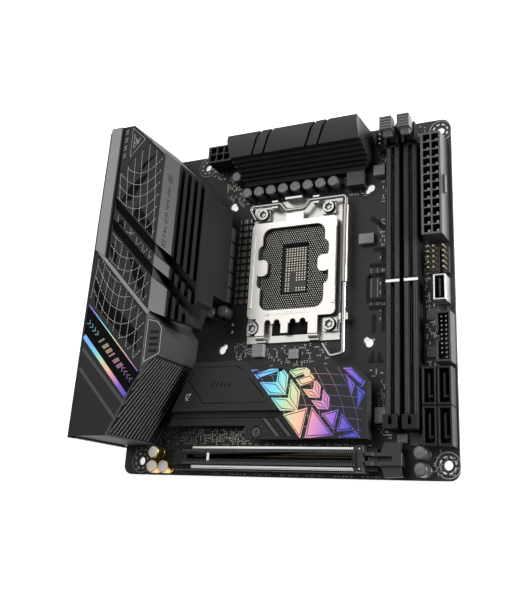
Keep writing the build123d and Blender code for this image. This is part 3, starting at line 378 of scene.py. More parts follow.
silk = moulded("silkscreen_ink", (0.52, 0.52, 0.50), 0.6, depth=0.004, spread=0.2)
ghost = moulded("mask_double_print", (0.004, 0.004, 0.0045), 0.6, depth=0.003, shine=0.25)
board_face = (0.0, "board")

# pale rings and dashes round each screw hole
board_side = 170.0
hole_rows = {-board_side / 2 + 6.35: (-74.84, 80.1), board_side / 2 - 6.17: (-51.98, 80.1)}
holes = [(x, y) for y, row in hole_rows.items() for x in row]
flat("hole_rings", [circle(x, y, 5.4, 36) for x, y in holes], silk, board_face, 0.16, closed=True)
flat("hole_dashes", [circle(x, y, 3.5, 4, k / 8 + 0.02, k / 8 + 0.09) for x, y in holes for k in range(8)],
     silk, board_face, 0.7)

# dark double-printed blocks between the socket and the memory slots
ghost_blocks = [[(44.6, 37.5), (52.0, 30.6)], [(46.0, 20.2), (51.0, 20.2), (51.0, 12.4), (44.2, 12.4)],
                [(43.6, 7.4), (51.4, 7.4), (51.4, -4.6), (43.6, -4.6), (43.6, 7.4)],
                [(44.0, -8.4), (51.4, -8.4), (51.4, -20.0)], [(46.6, -11.6), (46.6, -20.4)]]
flat("ghost_blocks", ghost_blocks, ghost, board_face, 2.4)
flat("ghost_arrow", [[(43.2, -34.4), (47.6, -34.4), (46.4, -27.8), (45.2, -31.0)],
                     [(48.0, -34.4), (52.4, -34.4), (50.0, -31.0), (49.2, -27.8)]], ghost, board_face)

# pale generic marks: bars beside the memory slots, ticks, frames and corner arrows
bar_marks = []
for k in range(24):
    y = -14.6 + 2.15 * k
    if k % 8 != 5:
        bar_marks += [[(49.6 + 0.9 * (k % 2), y), (49.6 + 0.9 * (k % 2), y + 1.5)],
                      [(50.0, y + 0.7), (51.8, y + 0.7)] if k % 3 else [(51.6, y), (51.6, y + 1.5)]]
flat("slot_edge_marks", bar_marks, silk, board_face, 0.42)
frame_marks = [[(45.0, 12.6), (48.2, 12.6), (48.2, -8.4), (45.0, -8.4), (45.0, 12.6)],
               [(50.6, 16.2), (50.6, 15.0), (53.4, 15.0), (53.4, 16.2)],
               [(50.6, -7.4), (50.6, -8.6), (53.4, -8.6), (53.4, -7.4)]]
rng = np.random.default_rng(7)
tick_spots = [(48.0, 34.5, 5), (49.6, 34.0, 5), (52.0, 0.0, 6), (-72.0, -66.0, 6), (60.6, 80.6, 9),
              (72.0, 82.0, 5), (80.0, 3.6, 4), (72.6, -38.0, 7), (50.8, -49.0, 5), (-26.0, -63.5, 5),
              (-22.0, 55.0, 5)]
for x, y, count in tick_spots:
    for k in range(count):
        length = 0.5 + 0.9 * rng.random()
        frame_marks.append([(x, y - 1.15 * k), (x + length, y - 1.15 * k)])
for k in range(46):
    x = -34.0 + 1.9 * k
    if k % 7 not in (3, 4):
        frame_marks.append([(x, -84.0), (x + 0.6 + 0.5 * (k % 2), -84.0)])
flat("small_marks", frame_marks, silk, board_face, 0.22)
flat("corner_arrows", [[(-29.4, -12.6), (-27.8, -12.6), (-28.6, -11.0)],
                       [(-29.4, -16.4), (-27.8, -16.4), (-28.6, -14.8)],
                       [(46.0, -24.0), (47.4, -24.0), (46.7, -22.6)]], silk, board_face)

# ---------------- small surface-mounted parts
# Hundreds of resistors and ceramic capacitors, soldered flat by their bright tinned ends.
# Each stands only where nothing lies above it; two tidy columns stand beside the chokes.
tinned = brushed("tinned_ends", (0.38, 0.36, 0.32), 0.34, (1, 1, 1), spread=0.45)
ceramic = moulded("ceramic_bodies", (0.065, 0.045, 0.030), 0.5, 0.3, spread=0.45)
resistor = moulded("resistor_bodies", (0.014, 0.014, 0.016), 0.35, 0.3)
depsgraph = bpy.context.evaluated_depsgraph_get()


def is_open(x, y, margin):
    """Whether a ray straight down meets the bare board at a spot and at four points round it."""
    for dx, dy in ((0, 0), (margin, margin), (-margin, margin), (margin, -margin), (-margin, -margin)):
        start = Vector((x + dx, y + dy, 80)) * MM
        hit, spot, *_ = bpy.context.scene.ray_cast(depsgraph, start, (0, 0, -1))
        if not hit or abs(spot.z - BOARD * MM) > 0.05 * MM:
            return False
    return True


parts_at = []
for low_x, high_x, low_y, high_y, count, pitch in [
        (-72, -54, -72, -62, 60, 1.3), (-54, -13, -70.4, -63.6, 210, 1.3), (-38, -24, 52, 70, 90, 1.3),
        (-48, -24, 70, 76, 40, 1.3), (-26, -14, -30, -22, 60, 1.25), (-9, 24, -34, -24, 80, 1.35),
        (70, 73.4, -36, 22, 90, 1.2), (69, 84, -12, 22, 70, 1.3), (71, 84, -40, -10, 60, 1.3),
        (46, 54, 62, 80, 50, 1.3), (54, 72, 74, 84, 40, 1.4), (49, 55, -68, -46, 50, 1.3),
        (-54, -50, -84, -62, 30, 1.2), (30, 54, -60, -38, 40, 1.3), (64, 76, -72, -60, 20, 1.4),
        (-20, 46, 50, 54, 60, 1.3), (70, 84, -83, -72, 40, 1.4), (-80, -56, -84, -70, 30, 1.4),
        (20, 44, 52, 62, 36, 1.4), (48, 54, 44, 62, 12, 1.5), (-44, 46, -72.6, -70.6, 70, 1.2)]:
    spots = np.stack([rng.uniform(low_x, high_x, count), rng.uniform(low_y, high_y, count)], 1)
    for x, y in np.round(spots / pitch) * pitch:
        if all(abs(x - a) > 0.9 * pitch or abs(y - b) > 0.9 * pitch for a, b, _ in parts_at[-400:]):
            if is_open(x, y, 0.62):
                parts_at.append((x, y, rng.random() < 0.5))
parts_at = np.array(parts_at)
upright = parts_at[:, 2] > 0
body_half = np.where(upright[:, None], (0.26, 0.30, 0.2), (0.30, 0.26, 0.2))
end_half = np.where(upright[:, None], (0.28, 0.14, 0.22), (0.14, 0.28, 0.22))
end_step = np.where(upright[:, None], (0, 0.42, 0), (0.42, 0, 0))
centres = np.column_stack([parts_at[:, :2], np.full(len(parts_at), 0.2)])
is_ceramic = np.arange(len(centres)) % 3 > 0
boxes("small_ceramics", centres[is_ceramic], body_half[is_ceramic], ceramic, slot="board")
boxes("small_resistors", centres[~is_ceramic], body_half[~is_ceramic], resistor, slot="board")
boxes("small_part_ends", np.concatenate([centres - end_step, centres + end_step]),
      np.concatenate([end_half, end_half]), tinned, slot="board")

column = np.array([(x, y, 0.55) for x in (-26.2, -22.6) for y in np.arange(-0.6, 43.0, 3.62)
                   if is_open(x, y, 1.2)])
boxes("column_capacitors", column, (0.9, 1.25, 0.55), resistor, slot="chip_resin")
boxes("column_capacitor_ends", np.concatenate([column + (1.2, 0, 0), column - (1.2, 0, 0)]),
      (0.32, 1.15, 0.5), tinned, slot="solder")


def finish_nodes(material, *nodes):
    """Give CAD nodes, whose shape is right as it is, their real material."""
    for node in nodes:
        frame["nodes"][node].data.materials[0] = material


def softened(node, material, width=0.2, segments=2):
    """A copy of a CAD node with its triangles merged and its edges rounded by width, standing for it."""
    source = frame["nodes"][node]
    points = np.zeros(len(source.data.vertices) * 3, np.float32)
    source.data.vertices.foreach_get("co", points)
    corners = np.zeros(len(source.data.loops), np.int32)
    source.data.loops.foreach_get("vertex_index", corners)
    mesh = bpy.data.meshes.new(node + "_finished")
    mesh.from_pydata(points.reshape(-1, 3).tolist(), [], corners.reshape(-1, 3).tolist())
    work = bmesh.new()
    work.from_mesh(mesh)
    bmesh.ops.remove_doubles(work, verts=work.verts, dist=0.002 * MM)
    bmesh.ops.dissolve_limit(work, angle_limit=math.radians(1), verts=work.verts, edges=work.edges)
    work.to_mesh(mesh)
    work.free()
    mesh.materials.append(material)
    mesh.polygons.foreach_set("use_smooth", [True] * len(mesh.polygons))
    mesh.set_sharp_from_angle(angle=math.radians(30))
    made = bpy.data.objects.new(node + "_finished", mesh)
    bpy.context.scene.collection.objects.link(made)
    bevel = made.modifiers.new("rounded_edges", "BEVEL")
    bevel.width = width * MM
    bevel.segments = segments
    bevel.limit_method = "ANGLE"
    bevel.angle_limit = math.radians(30)
    bevel.harden_normals = True
    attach(made, source["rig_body"])
    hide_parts(node)
    return made


socket_x, socket_y = 5.3, 14.2
socket_black = moulded("socket_moulding", (0.010, 0.010, 0.011), 0.42)
nickel = brushed("nickel_plated_steel", (0.43, 0.42, 0.40), 0.30, (1, 30, 1), spread=0.07)
finish_nodes(socket_black, "socket_body")
finish_nodes(moulded("contact_carrier", (0.004, 0.004, 0.004), 0.6, shine=0.1), "socket_contacts")
softened("ilm_frame", nickel, 0.15)
softened("ilm_screws", nickel, 0.15)
screws_at = [(socket_x + x, socket_y + y)
             for x, y in ((-18.3, 30.0), (18.3, 30.0), (-20.4, -30.0), (20.4, -30.0))]
screw_seat, screw_head = (3.0, "screw_steel"), (4.7, "screw_steel")
# painted shadow: the dark rings round the screw heads on their seats, the dark stars and rings in the heads'
# recesses and the dark plate under the hinge stand for shade
shade = moulded("painted_shadow", (0.006, 0.0055, 0.005), 0.5, spread=0.2, shine=0.1)
flat("screw_seat_shadows", [circle(x, y, 3.15, 28) for x, y in screws_at], shade, screw_seat, 0.5, high=0.04,
     closed=True)
star_turns = [k * math.pi / 3 + 0.4 for k in range(6)]
stars = [[(x + r * math.cos(turn), y + r * math.sin(turn)) for r in (1.3, 2.1)]
         for x, y in screws_at for turn in star_turns]
flat("screw_star_shade", stars, shade, screw_head, 0.7)
flat("screw_ring_shade", [circle(x, y, 1.55, 24) for x, y in screws_at], shade, screw_head, 0.45, closed=True)
flat("hinge_shade", [[(socket_x - 11.0, -19.4), (socket_x + 9.0, -19.4), (socket_x + 9.0, -12.4),
                      (socket_x - 11.0, -12.4)]], shade, (1.2, "nickel_steel"), high=0.04)
finish_nodes(brushed("phosphated_steel", (0.05, 0.05, 0.055), 0.42), "ilm_backplate")

spring_metal = brushed("spring_contacts", (0.40, 0.39, 0.365), 0.36, (1, 1, 1), spread=0.25)
column_x, row_y = np.meshgrid(np.arange(-18.0, 18.4, 1.2), np.arange(-21.6, 22.1, 1.1))
column_x = column_x + 0.6 * (np.arange(len(row_y)) % 2)[:, None] - 0.2
outside = (abs(column_x) > 7.4) | (abs(row_y) > 12.9)
springs = np.stack([column_x[outside] + socket_x, row_y[outside] + socket_y,
                    np.full(outside.sum(), 2.32)], 1)
boxes("socket_springs", springs, (0.19, 0.27, 0.22), spring_metal, lean=(0.2, 0.12), slot="contact_gold")

cap_x, cap_y = np.meshgrid(np.arange(-5.1, 5.2, 1.46), np.arange(-10.4, 11.0, 2.6))
keep = ~((cap_y < -1.5) & (abs(cap_x + 1.2) < 1.0)) & ~((cap_y < -6) & (cap_x > -3) & (cap_y > -9))
middle = np.stack([cap_x[keep] + socket_x, cap_y[keep] + socket_y, np.full(keep.sum(), 0.3)], 1)
boxes("socket_middle_bodies", middle, (0.26, 0.4, 0.26), resistor, slot="chip_resin")
boxes("socket_middle_ends", np.concatenate([middle + (0, 0.58, 0), middle - (0, 0.58, 0)]),
      (0.3, 0.22, 0.3), brushed("gilded_ends", (0.66, 0.60, 0.48), 0.35, (1, 1, 1), spread=0.2),
      slot="contact_gold")

# Load plate: pressed nickel-plated steel with a faint etched line near the hinge.
# The lever that holds it down is one bent wire with a bright sleeve on its long arm.
plate_steel = brushed("load_plate_steel", (0.62, 0.60, 0.57), 0.38, (1, 40, 1), spread=0.05, depth=0.003)
softened("load_plate", plate_steel, 0.3, 3)
etch_marks = [[(socket_x - 13.5, -9.9), (socket_x - 11.4, -9.3), (socket_x - 12.0, -10.5)]]
for k in range(17):
    y = -9.9 + 0.25 * (k % 3)
    etch_marks.append([(socket_x - 8.5 + 1.15 * k, y), (socket_x - 7.8 + 1.15 * k, y)])
etch_marks += [[(socket_x - 2.4 + 0.9 * k, -8.7), (socket_x - 1.9 + 0.9 * k, -8.7)] for k in range(5)]
ribbons("load_plate_etching", etch_marks, 0.5, 4.99, 5.012,
        moulded("etched_steel", (0.50, 0.42, 0.34), 0.5, spread=0.2, Metallic=0.6), body="load_plate",
        slot="nickel_steel")
finish_nodes(brushed("lever_wire", (0.36, 0.35, 0.335), 0.28, (1, 30, 1), depth=0.0008), "load_lever")
softened("lever_sleeve", brushed("sleeve_steel", (0.30, 0.285, 0.255), 0.34, (1, 30, 1), depth=0.001), 0.2)

# ---------------- memory slots
# Two long black mouldings, each with two rails of small windows over its spring contacts and a
# pale key bar across it. The far latch of each is a ribbed lever on two moulded trunnions.
slot_black = moulded("slot_moulding", (0.0085, 0.0085, 0.0095), 0.45, shine=0.2)
# painted highlight: the rail edges, the bars between the windows and the comb teeth are a lighter grey than
# the black moulding, standing for light caught on them
rail_highlight_grey = moulded("slot_rail_edges", (0.10, 0.102, 0.106), 0.5, spread=0.2)
# painted shade: near-black for openings where shade falls, in the slot windows, the gaps between comb teeth,
# the shield's slots and the floor inside the front port
painted_pit_shade = moulded("window_shadow", (0.0015, 0.0015, 0.0015), 0.8, spread=0.2, shine=0.03)
pale_resin = moulded("pale_nylon", (0.78, 0.78, 0.75), 0.45, spread=0.06)
gilt = brushed("gold_contacts", (0.70, 0.50, 0.22), 0.34, (1, 1, 1))
latch_black = moulded("latch_moulding", (0.010, 0.010, 0.011), 0.42)
latch_grey = moulded("latch_lever_moulding", (0.085, 0.085, 0.088), 0.42)
memory_top = 8.2
rail_step, window_pitch, contact_pitch = 2.05, 1.05, 0.85
memory_slots = {"a": 58.3, "b": 67.0}
for letter, x in memory_slots.items():
    softened(f"memory_slot_{letter}", slot_black, 0.15)
    softened(f"memory_latch_{letter}", latch_grey, 0.25)
    window_y = np.concatenate([np.arange(-57.8, 0.1, window_pitch), np.arange(3.0, 68.8, window_pitch)])
    rails = [[(x + side * rail_step + edge, low), (x + side * rail_step + edge, high)] for side in (-1, 1)
             for edge in (-0.46, 0.46) for low, high in ((-58.4, 0.2), (2.6, 69.0))]
    flat(f"memory_rail_edges_{letter}", rails, rail_highlight_grey, (memory_top, "black_resin"), 0.15, high=0.05)
    spots = np.array([(x + side * rail_step, y, memory_top + 0.01) for side in (-1, 1) for y in window_y])
    boxes(f"memory_windows_{letter}", spots, (0.36, 0.34, 0.02), painted_pit_shade, slot="black_resin")
    boxes(f"memory_window_bars_{letter}", spots + (0, window_pitch / 2, 0), (0.4, 0.12, 0.035), rail_highlight_grey,
          slot="black_resin")
    comb = np.array([(x + side * 0.66, y, 4.3) for side in (-1, 1)
                     for y in np.arange(-57.8, 69.0, contact_pitch) if abs(y - 1.5) > 1.6])
    boxes(f"memory_contacts_{letter}", comb, (0.12, 0.2, 1.4), gilt, slot="contact_gold")
    boxes(f"memory_key_bar_{letter}", [(x, 1.5, memory_top + 0.06)], (3.25, 0.62, 0.16), pale_resin,
          slot="white_resin")

# ---------------- expansion slot
# A long black moulding with combs of contacts down both sides, armoured by two bright steel bars
# that are riveted into the end block. Pressing the broad latch's wings frees the card.
slot_y = -77.2
softened("expansion_slot", slot_black, 0.15)
softened("slot_end_block", latch_black, 0.2)
softened("slot_latch", latch_black, 0.25)
armour_steel = brushed("armour_steel", (0.60, 0.585, 0.56), 0.36, (30, 1, 1), spread=0.06)
softened("slot_armour", armour_steel, 0.5, 3)
slot_top, key_x = 11.0, -30.4
teeth = np.array([(x, slot_y + side * 2.75, slot_top) for side in (-1, 1)
                  for x in np.arange(-44.5, 41.6, 1.0)])
# painted shade in the gaps between the comb teeth
boxes("expansion_comb_gaps", teeth, (0.24, 0.5, 0.025), painted_pit_shade, slot="black_resin")
# painted highlight on the comb teeth
boxes("expansion_comb", teeth + (0.5, 0, 0), (0.2, 0.5, 0.03), rail_highlight_grey, slot="black_resin")
comb = np.array([(x, slot_y + side * 0.75, 4.1) for side in (-1, 1) for x in np.arange(-42.0, 41.0, 1.0)
                 if abs(x - key_x) > 1.4])
boxes("expansion_contacts", comb, (0.2, 0.14, 1.8), gilt, slot="contact_gold")
boxes("expansion_key_mark", [(key_x, slot_y, slot_top)], (0.6, 1.7, 0.05), pale_resin, slot="white_resin")
turned("armour_rivets", [(43.9, slot_y + side * 4.2, 0) for side in (-1, 1)],
       [(0.62, 8.5), (0.62, 9.2), (0.42, 9.45)], 14, nickel, slot="nickel_steel")

# ---------------- power headers
# Black nylon blocks of square cells, a bright tinned pin standing in each. The cells' rims are
# thin and catch the light; the long one has a ramp outside for the plug's latch.
header_black = moulded("header_nylon", (0.024, 0.024, 0.026), 0.45, shine=0.3)
glossy_nylon = moulded("glossy_nylon", (0.022, 0.022, 0.024), 0.34, shine=0.75)
softened("main_power_header", glossy_nylon, 0.12)
softened("cpu_power_header", header_black, 0.12)
pin_tin = brushed("tinned_pins", (0.26, 0.245, 0.21), 0.36, (1, 1, 30))
finish_nodes(pin_tin, "main_power_pins", "cpu_power_pins")

# ---------------- power stages
# Square chokes of pressed iron powder stand between the switching transistors and the socket.
# Soft grey pads carry the heat of both up into the finned blocks above them.
choke_grey = moulded("pressed_iron_powder", (0.21, 0.21, 0.215), 0.5, 0.35, 0.03, Metallic=0.2)
chip_black = moulded("chip_moulding", (0.014, 0.014, 0.015), 0.4, 0.12)
finish_nodes(chip_black, "power_transistors")
softened("power_chokes", moulded("dark_chokes", (0.03, 0.03, 0.032), 0.45, Metallic=0.2), 0.35)
finish_nodes(moulded("silicone_pad", (0.16, 0.17, 0.18), 0.75), "thermal_pads", "drive_thermal_pad")

# Finned blocks: extruded aluminium, bead-blasted and anodised black. The long bevelled strip
# beside the cover is satin grey, with engraved generic strokes along it.
satin = Finish("satin_anodised", Metallic=0.1, Specular_IOR_Level=0.22)
bead = satin.noise(0.22, 3)
drift = satin.noise(18, 3)
strip_tone = satin.tint(bead * 0.6 + drift * 0.4, (0.015, 0.0155, 0.0165), (0.030, 0.031, 0.033))
block_tone = satin.tint(bead * 0.6 + drift * 0.4, (0.004, 0.004, 0.0045), (0.009, 0.0092, 0.010))
strip_edge_x, crown_height = -47.1, 24.3
satin.set(Base_Color=satin.tint(satin.along(0) > strip_edge_x, strip_tone, block_tone),
          Roughness=0.42 + 0.12 * drift)
satin.bump(bead, 0.015)
blasted = moulded("black_anodised", (0.017, 0.0175, 0.019), 0.42, 0.2, 0.014, spread=0.25, Metallic=0.2)
softened("side_heatsink", satin.material, 0.25)
crown = Finish("far_block_black", Metallic=0.1, Specular_IOR_Level=0.2)
grit = crown.noise(0.2, 3)
# painted light: the crown above crown_height is lighter than the flanks, standing for the overhead lamp on
# its upward faces
lit_crown_tone = crown.tint(grit, (0.030, 0.031, 0.033), (0.048, 0.049, 0.052))
flank_tone = crown.tint(grit, (0.007, 0.007, 0.0075), (0.012, 0.012, 0.013))
crown.set(Base_Color=crown.tint(crown.along(2) > crown_height, flank_tone, lit_crown_tone),
          Roughness=0.42 + 0.12 * crown.noise(14))
crown.bump(grit, 0.014)
softened("far_heatsink", crown.material, 0.25)
finish_nodes(nickel, "heatsink_screws")

bevel_top, bevel_foot = np.array((-51.7, 0, 41.8)), np.array((strip_edge_x - 0.1, 0, 34.0))
down_bevel = (bevel_foot - bevel_top) / np.linalg.norm(bevel_foot - bevel_top)
bevel_out = np.array((-down_bevel[2], 0, down_bevel[0]))


def on_bevel(points):
    """Carry (down the bevel, along y, outwards) onto the slanting plane of strip and badge."""
    return bevel_top + points[:, :1] * down_bevel + points[:, 1:2] * (0, 1, 0) + points[:, 2:] * bevel_out


engraving = moulded("engraved_black", (0.002, 0.002, 0.002), 0.7, shine=0.03)
strokes = [[(2.9, y + 0.9), (5.7, y - 0.6)] for y in (56.6, 55.2, 53.8, 19.4, 20.8, 22.2)]
heights = (1.0, 0.55, 1.0, 0.8, 0.4, 1.0, 0.6)
for k in range(24):
    y = 24.6 + 1.2 * k
    if k % 6 != 5:
        strokes.append([(4.3 - 1.1 * heights[k % 7], y), (4.3 + 1.1 * heights[(k + 3) % 7], y)])
flat("strip_engraving", strokes, engraving, (0.0, "black_aluminium"), 0.42, place=on_bevel)

# ---------------- capacitors
# Solid polymer cans are drawn aluminium with a crimped foot, sleeved dark. The three audio cans
# are gold-coloured with silver tops, scored so that they can vent.
can_dark = brushed("dark_can", (0.05, 0.052, 0.056), 0.36, (1, 1, 8), Metallic=0.6)
softened("polymer_capacitors", can_dark, 0.12)
cans = [(socket_x - 27.0 + 6.95 * k, 56.2) for k in range(8)]
cans += [(-28.6, 66.6), (-38.1, -6.9), (-31.1, -6.7), (70.1, -74.4), (70.3, -81.1)]
can_top = 8.2
turned("can_tops", [(x, y, can_top) for x, y in cans], [(2.35, 0.0), (2.35, 0.03), (2.2, 0.06)], 32,
       brushed("can_top_grey", (0.12, 0.122, 0.126), 0.42, (4, 1, 1), Metallic=0.5), slot="choke_grey")
flat("can_top_scores", [[(x - 1.5, y - 0.5), (x + 1.5, y + 0.5)] for x, y in cans], engraving,
     (can_top, "choke_grey"), 0.12, 0.05, 0.075)
gold_can = brushed("gold_can", (0.80, 0.56, 0.20), 0.26, (1, 1, 14), spread=0.1)
softened("audio_capacitors", gold_can, 0.15)
audio_cans = [(-64.1, -74.8), (-64.2, -81.4), (-57.8, -81.4)]
audio_can_top = 6.8
turned("audio_can_tops", [(x, y, audio_can_top) for x, y in audio_cans],
       [(2.5, 0.0), (2.5, 0.04), (2.35, 0.07)], 32,
       brushed("silver_top", (0.84, 0.83, 0.80), 0.5, (6, 1, 1), Metallic=0.3), slot="gold_can")

# ---------------- storage drive bay and chipset
# A soldered logic chip sits under a small spreader; a drive lies in its socket and is held by a
# turning latch. One anodised plate covers both, held by a screw with a cross-shaped recess.
finish_nodes(chip_black, "chipset")
finish_nodes(blasted, "chipset_spreader", "drive_heatsink_posts")
softened("drive_connector", slot_black, 0.1)
finish_nodes(nickel, "drive_standoff")
softened("drive_latch", moulded("latch_nylon", (0.05, 0.05, 0.052), 0.45), 0.15)
softened("drive_heatsink_screw", brushed("dark_screw", (0.06, 0.06, 0.065), 0.35, (1, 1, 1)), 0.12)
bay = Finish("brushed_anodised", Metallic=0.1, Specular_IOR_Level=0.2)
line = bay.noise(0.35, 3, (60, 1, 1))
smear = bay.noise(16, 3)
bay.set(Base_Color=bay.tint(line * 0.7 + smear * 0.3, (0.006, 0.006, 0.0065), (0.030, 0.031, 0.033)),
        Roughness=0.38 + 0.14 * line)
bay.bump(line, 0.02)
softened("drive_heatsink", bay.material, 0.25)
bay_face, ledge_face = (12.4, "black_aluminium"), (9.2, "black_aluminium")


def foil(name, low, high, across, *colours):
    """Thin printed foil whose colour runs on from low to high along x plus across times y."""
    finish = Finish(name, Metallic=0.2, Specular_IOR_Level=0.4)
    way = (finish.along(0) + finish.along(1) * across - low) * (1 / (high - low))
    hue = finish.ramp(way, *[(k / (len(colours) - 1), colour) for k, colour in enumerate(colours)])
    grain = finish.noise(1.2, 3)
    finish.set(Base_Color=finish.tint(grain * 0.15, hue, (0.6, 0.6, 0.6)), Roughness=0.36 + 0.12 * grain)
    finish.bump(grain, 0.004)
    return finish.material


indigo, violet, blue, sky = (0.03, 0.035, 0.50), (0.20, 0.08, 0.62), (0.12, 0.11, 0.58), (0.16, 0.48, 0.95)
cyan, lime, peach, pink = (0.16, 0.72, 0.86), (0.56, 0.74, 0.42), (0.95, 0.52, 0.32), (0.68, 0.24, 0.52)
bay_foil = foil("bay_foil", 0, 60, -0.3, blue, sky, cyan, lime, peach, pink, violet, indigo)
bay_border = [(-10.6, -37.8), (16.4, -68.9), (47.9, -68.9), (47.9, -44.2), (40.8, -37.8)]


def clipped(outline, border):
    """The part of a convex outline inside a convex border, both anticlockwise: for each side of the
    border the points on its left stay, and a point is added where the outline crosses it."""
    for start, end in zip(border, border[1:] + border[:1]):
        inward = np.array([start[1] - end[1], end[0] - start[0]])
        depth = [np.dot(inward, np.subtract(point, start)) for point in outline]
        kept = []
        for k, point in enumerate(outline):
            after = (k + 1) % len(outline)
            if depth[k] >= 0:
                kept.append(tuple(point))
            if depth[k] * depth[after] < 0:
                step = depth[k] / (depth[k] - depth[after])
                kept.append(tuple(np.add(point, np.subtract(outline[after], point) * step)))
        outline = kept
    return outline


def shrunk(outline, margin):
    """A convex outline drawn in towards its middle by about margin."""
    points = np.asarray(outline, float)
    middle = points.mean(0)
    reach = np.linalg.norm(points - middle, axis=1)[:, None]
    return middle + (points - middle) * np.maximum(1 - 1.4 * margin / reach, 0.1)


def slanted(start, length, low, high, lean):
    """A bar across a print's row: from start to start plus length, leaning forward by lean."""
    return [(start, low), (start + length, low), (start + length + lean, high), (start + lean, high)]


# generic bars, arrows and triangles in two slanting rows: (along the row, across it)
row_turn = np.array([(0.651, -0.759), (0.759, 0.651)])
shapes = [slanted(0.4, 6.4, 0.6, 13.4, 5.8), slanted(8.6, 2.8, 0.6, 13.4, 5.8)]
for start in (13.4, 23.0):
    shapes += [slanted(start, 7.6, 0.6, 7.0, 5.8), slanted(start + 5.8, 7.6, 7.0, 13.4, -5.8)]
shapes += [[(33.0, 0.6), (47.0, 0.6), (38.6, 11.6)], [(48.2, 2.2), (56.0, 13.4), (39.8, 13.4)]]
for start in (19.6, 25.0, 58.2):
    shapes.append(slanted(start, 3.8, 15.0, 22.4, 3.2))
for start in (30.6, 37.4):
    shapes += [slanted(start, 5.0, 15.0, 18.7, 3.6), slanted(start + 3.6, 5.0, 18.7, 22.4, -3.6)]
shapes += [[(45.2, 15.0), (54.4, 15.0), (49.2, 22.4)], [(56.0, 15.8), (60.6, 22.4), (51.4, 22.4)]]
printed_rows = [clipped([tuple(np.dot(point, row_turn) + (-14.0, -34.0)) for point in shape], bay_border)
                for shape in shapes]
printed_rows = [shape for shape in printed_rows if len(shape) > 2]
printed_rows += [[(36.6, -38.6), (45.9, -47.3), (47.3, -44.8), (40.6, -38.5)],
                 [(38.0, -41.6), (42.4, -45.8), (41.0, -50.6)], [(43.8, -56.2), (47.2, -49.6), (43.4, -47.0)]]
flat("bay_print", printed_rows, bay_foil, bay_face)
print_black = moulded("print_black", (0.003, 0.003, 0.0035), 0.7, depth=0.002, shine=0.04)
flat("bay_print_contours", [shrunk(shape, 0.8) for shape in printed_rows], print_black, bay_face,
     0.34, 0.02, 0.045, closed=True)
steps = np.linspace(-14.0, 48.0, 32)
curves = [np.stack([steps, -40.4 - 4.7 * k - 0.0016 * (steps - 10) ** 2], 1) for k in range(7)]
drops = np.linspace(-38.0, -69.0, 18)
curves += [np.stack([-4.0 + 5.8 * k - 0.011 * (drops + 69.0) ** 2 + 8.0, drops], 1) for k in range(8)]


def inside(points, border):
    """Which points lie inside a convex border given anticlockwise."""
    good = np.ones(len(points), bool)
    for start, end in zip(border, border[1:] + border[:1]):
        good &= (points - start) @ np.array([start[1] - end[1], end[0] - start[0]]) > 0
    return good


curves = [curve[inside(curve, bay_border)] for curve in curves]
dim = [share(colour, 0.4) for colour in (violet, sky, cyan, lime, peach, pink, violet, blue)]
flat("bay_print_grid", [curve for curve in curves if len(curve) > 1],
     foil("bay_grid_foil", 0, 60, -0.3, *dim), bay_face, 0.2, high=0.015)
turned("bay_dot", [(19.0, -40.0, bay_face[0])], [(1.75, 0.0), (1.75, 0.05)], 32,
       moulded("cream_ink", (0.72, 0.62, 0.40), 0.5, spread=0.08), slot="black_aluminium")

# engraved path with generic bars on the plain side, and grooves on the ledge
bay_lines = [[(-41.2, -38.0), (-43.6, -42.4), (-34.6, -53.0), (-22.6, -53.0)],
             [(-19.4, -35.8), (-16.8, -35.8), (-14.4, -38.0)], [(-10.6, -41.4), (-2.2, -50.4)]]
for k in range(15):
    for start, y in ((-40.4, -35.6), (-21.0, -52.8)):
        level = y - 0.35 * (k % 2)
        bay_lines.append([(start + 1.36 * k, level), (start + 0.9 + 1.36 * k, level)])
bay_lines += [[(-30.4 + 2.3 * k, -45.4), (-29.4 + 2.3 * k, -43.0)] for k in range(5)]
flat("bay_engraving", bay_lines, engraving, bay_face, 0.42, high=0.02)
far_y, near_y = -59.8, -67.8
ledge_lines = [[(-54.4, -59.4), (3.4, -59.4)]]
ledge_lines += [[(x, far_y), (x + 7.4, near_y)] for x in (-4.6, -1.6, 1.4, 4.4)]
flat("bay_ledge_grooves", ledge_lines, engraving, ledge_face, 0.3, high=0.02)
flat("bay_ledge_bars", [[(x, far_y), (x + 7.4, near_y), (x + 9.4, near_y), (x + 2.0, far_y)]
                        for x in (-4.1, 1.9)], moulded("satin_bar", (0.045, 0.045, 0.047), 0.36), ledge_face,
     high=0.02)
flat("bay_small_mark", [circle(-43.2, -50.0, 1.5, 6, 0.1, 0.8), [(-44.6, -51.8), (-41.8, -48.2)]], silk,
     bay_face, 0.2, high=0.02)

# ---------------- rear connectors
# Folded steel shells with moulded tongues and gold strips, three stacked sound jacks, two gilded
# aerial posts and a service button. All of them pass through a pressed, blackened steel shield.
shield_face, port_face = -88.4, -88.9
port_steel = brushed("port_shells", (0.58, 0.57, 0.56), 0.3, (20, 1, 20), spread=0.1)
port_black = moulded("port_moulding", (0.008, 0.008, 0.009), 0.45)
for node in ("usb_a_ports", "hdmi_port", "display_port", "network_jack", "usb_c_port"):
    softened(node, port_steel, 0.15)
softened("audio_jacks", port_black, 0.2)
softened("rear_shield", moulded("blackened_shield", (0.016, 0.016, 0.018), 0.4, Metallic=0.5), 0.15)
softened("firmware_button", moulded("service_button", (0.10, 0.10, 0.105), 0.45), 0.3)
finish_nodes(port_black, "button_switch")
softened("wireless_module", brushed("module_can", (0.45, 0.45, 0.46), 0.35, (1, 20, 1)), 0.2)
finish_nodes(gilt, "antenna_posts")
usb_at = [(y, z) for y in (47.0, 30.0, -37.0) for z in (4.4, 11.6)]
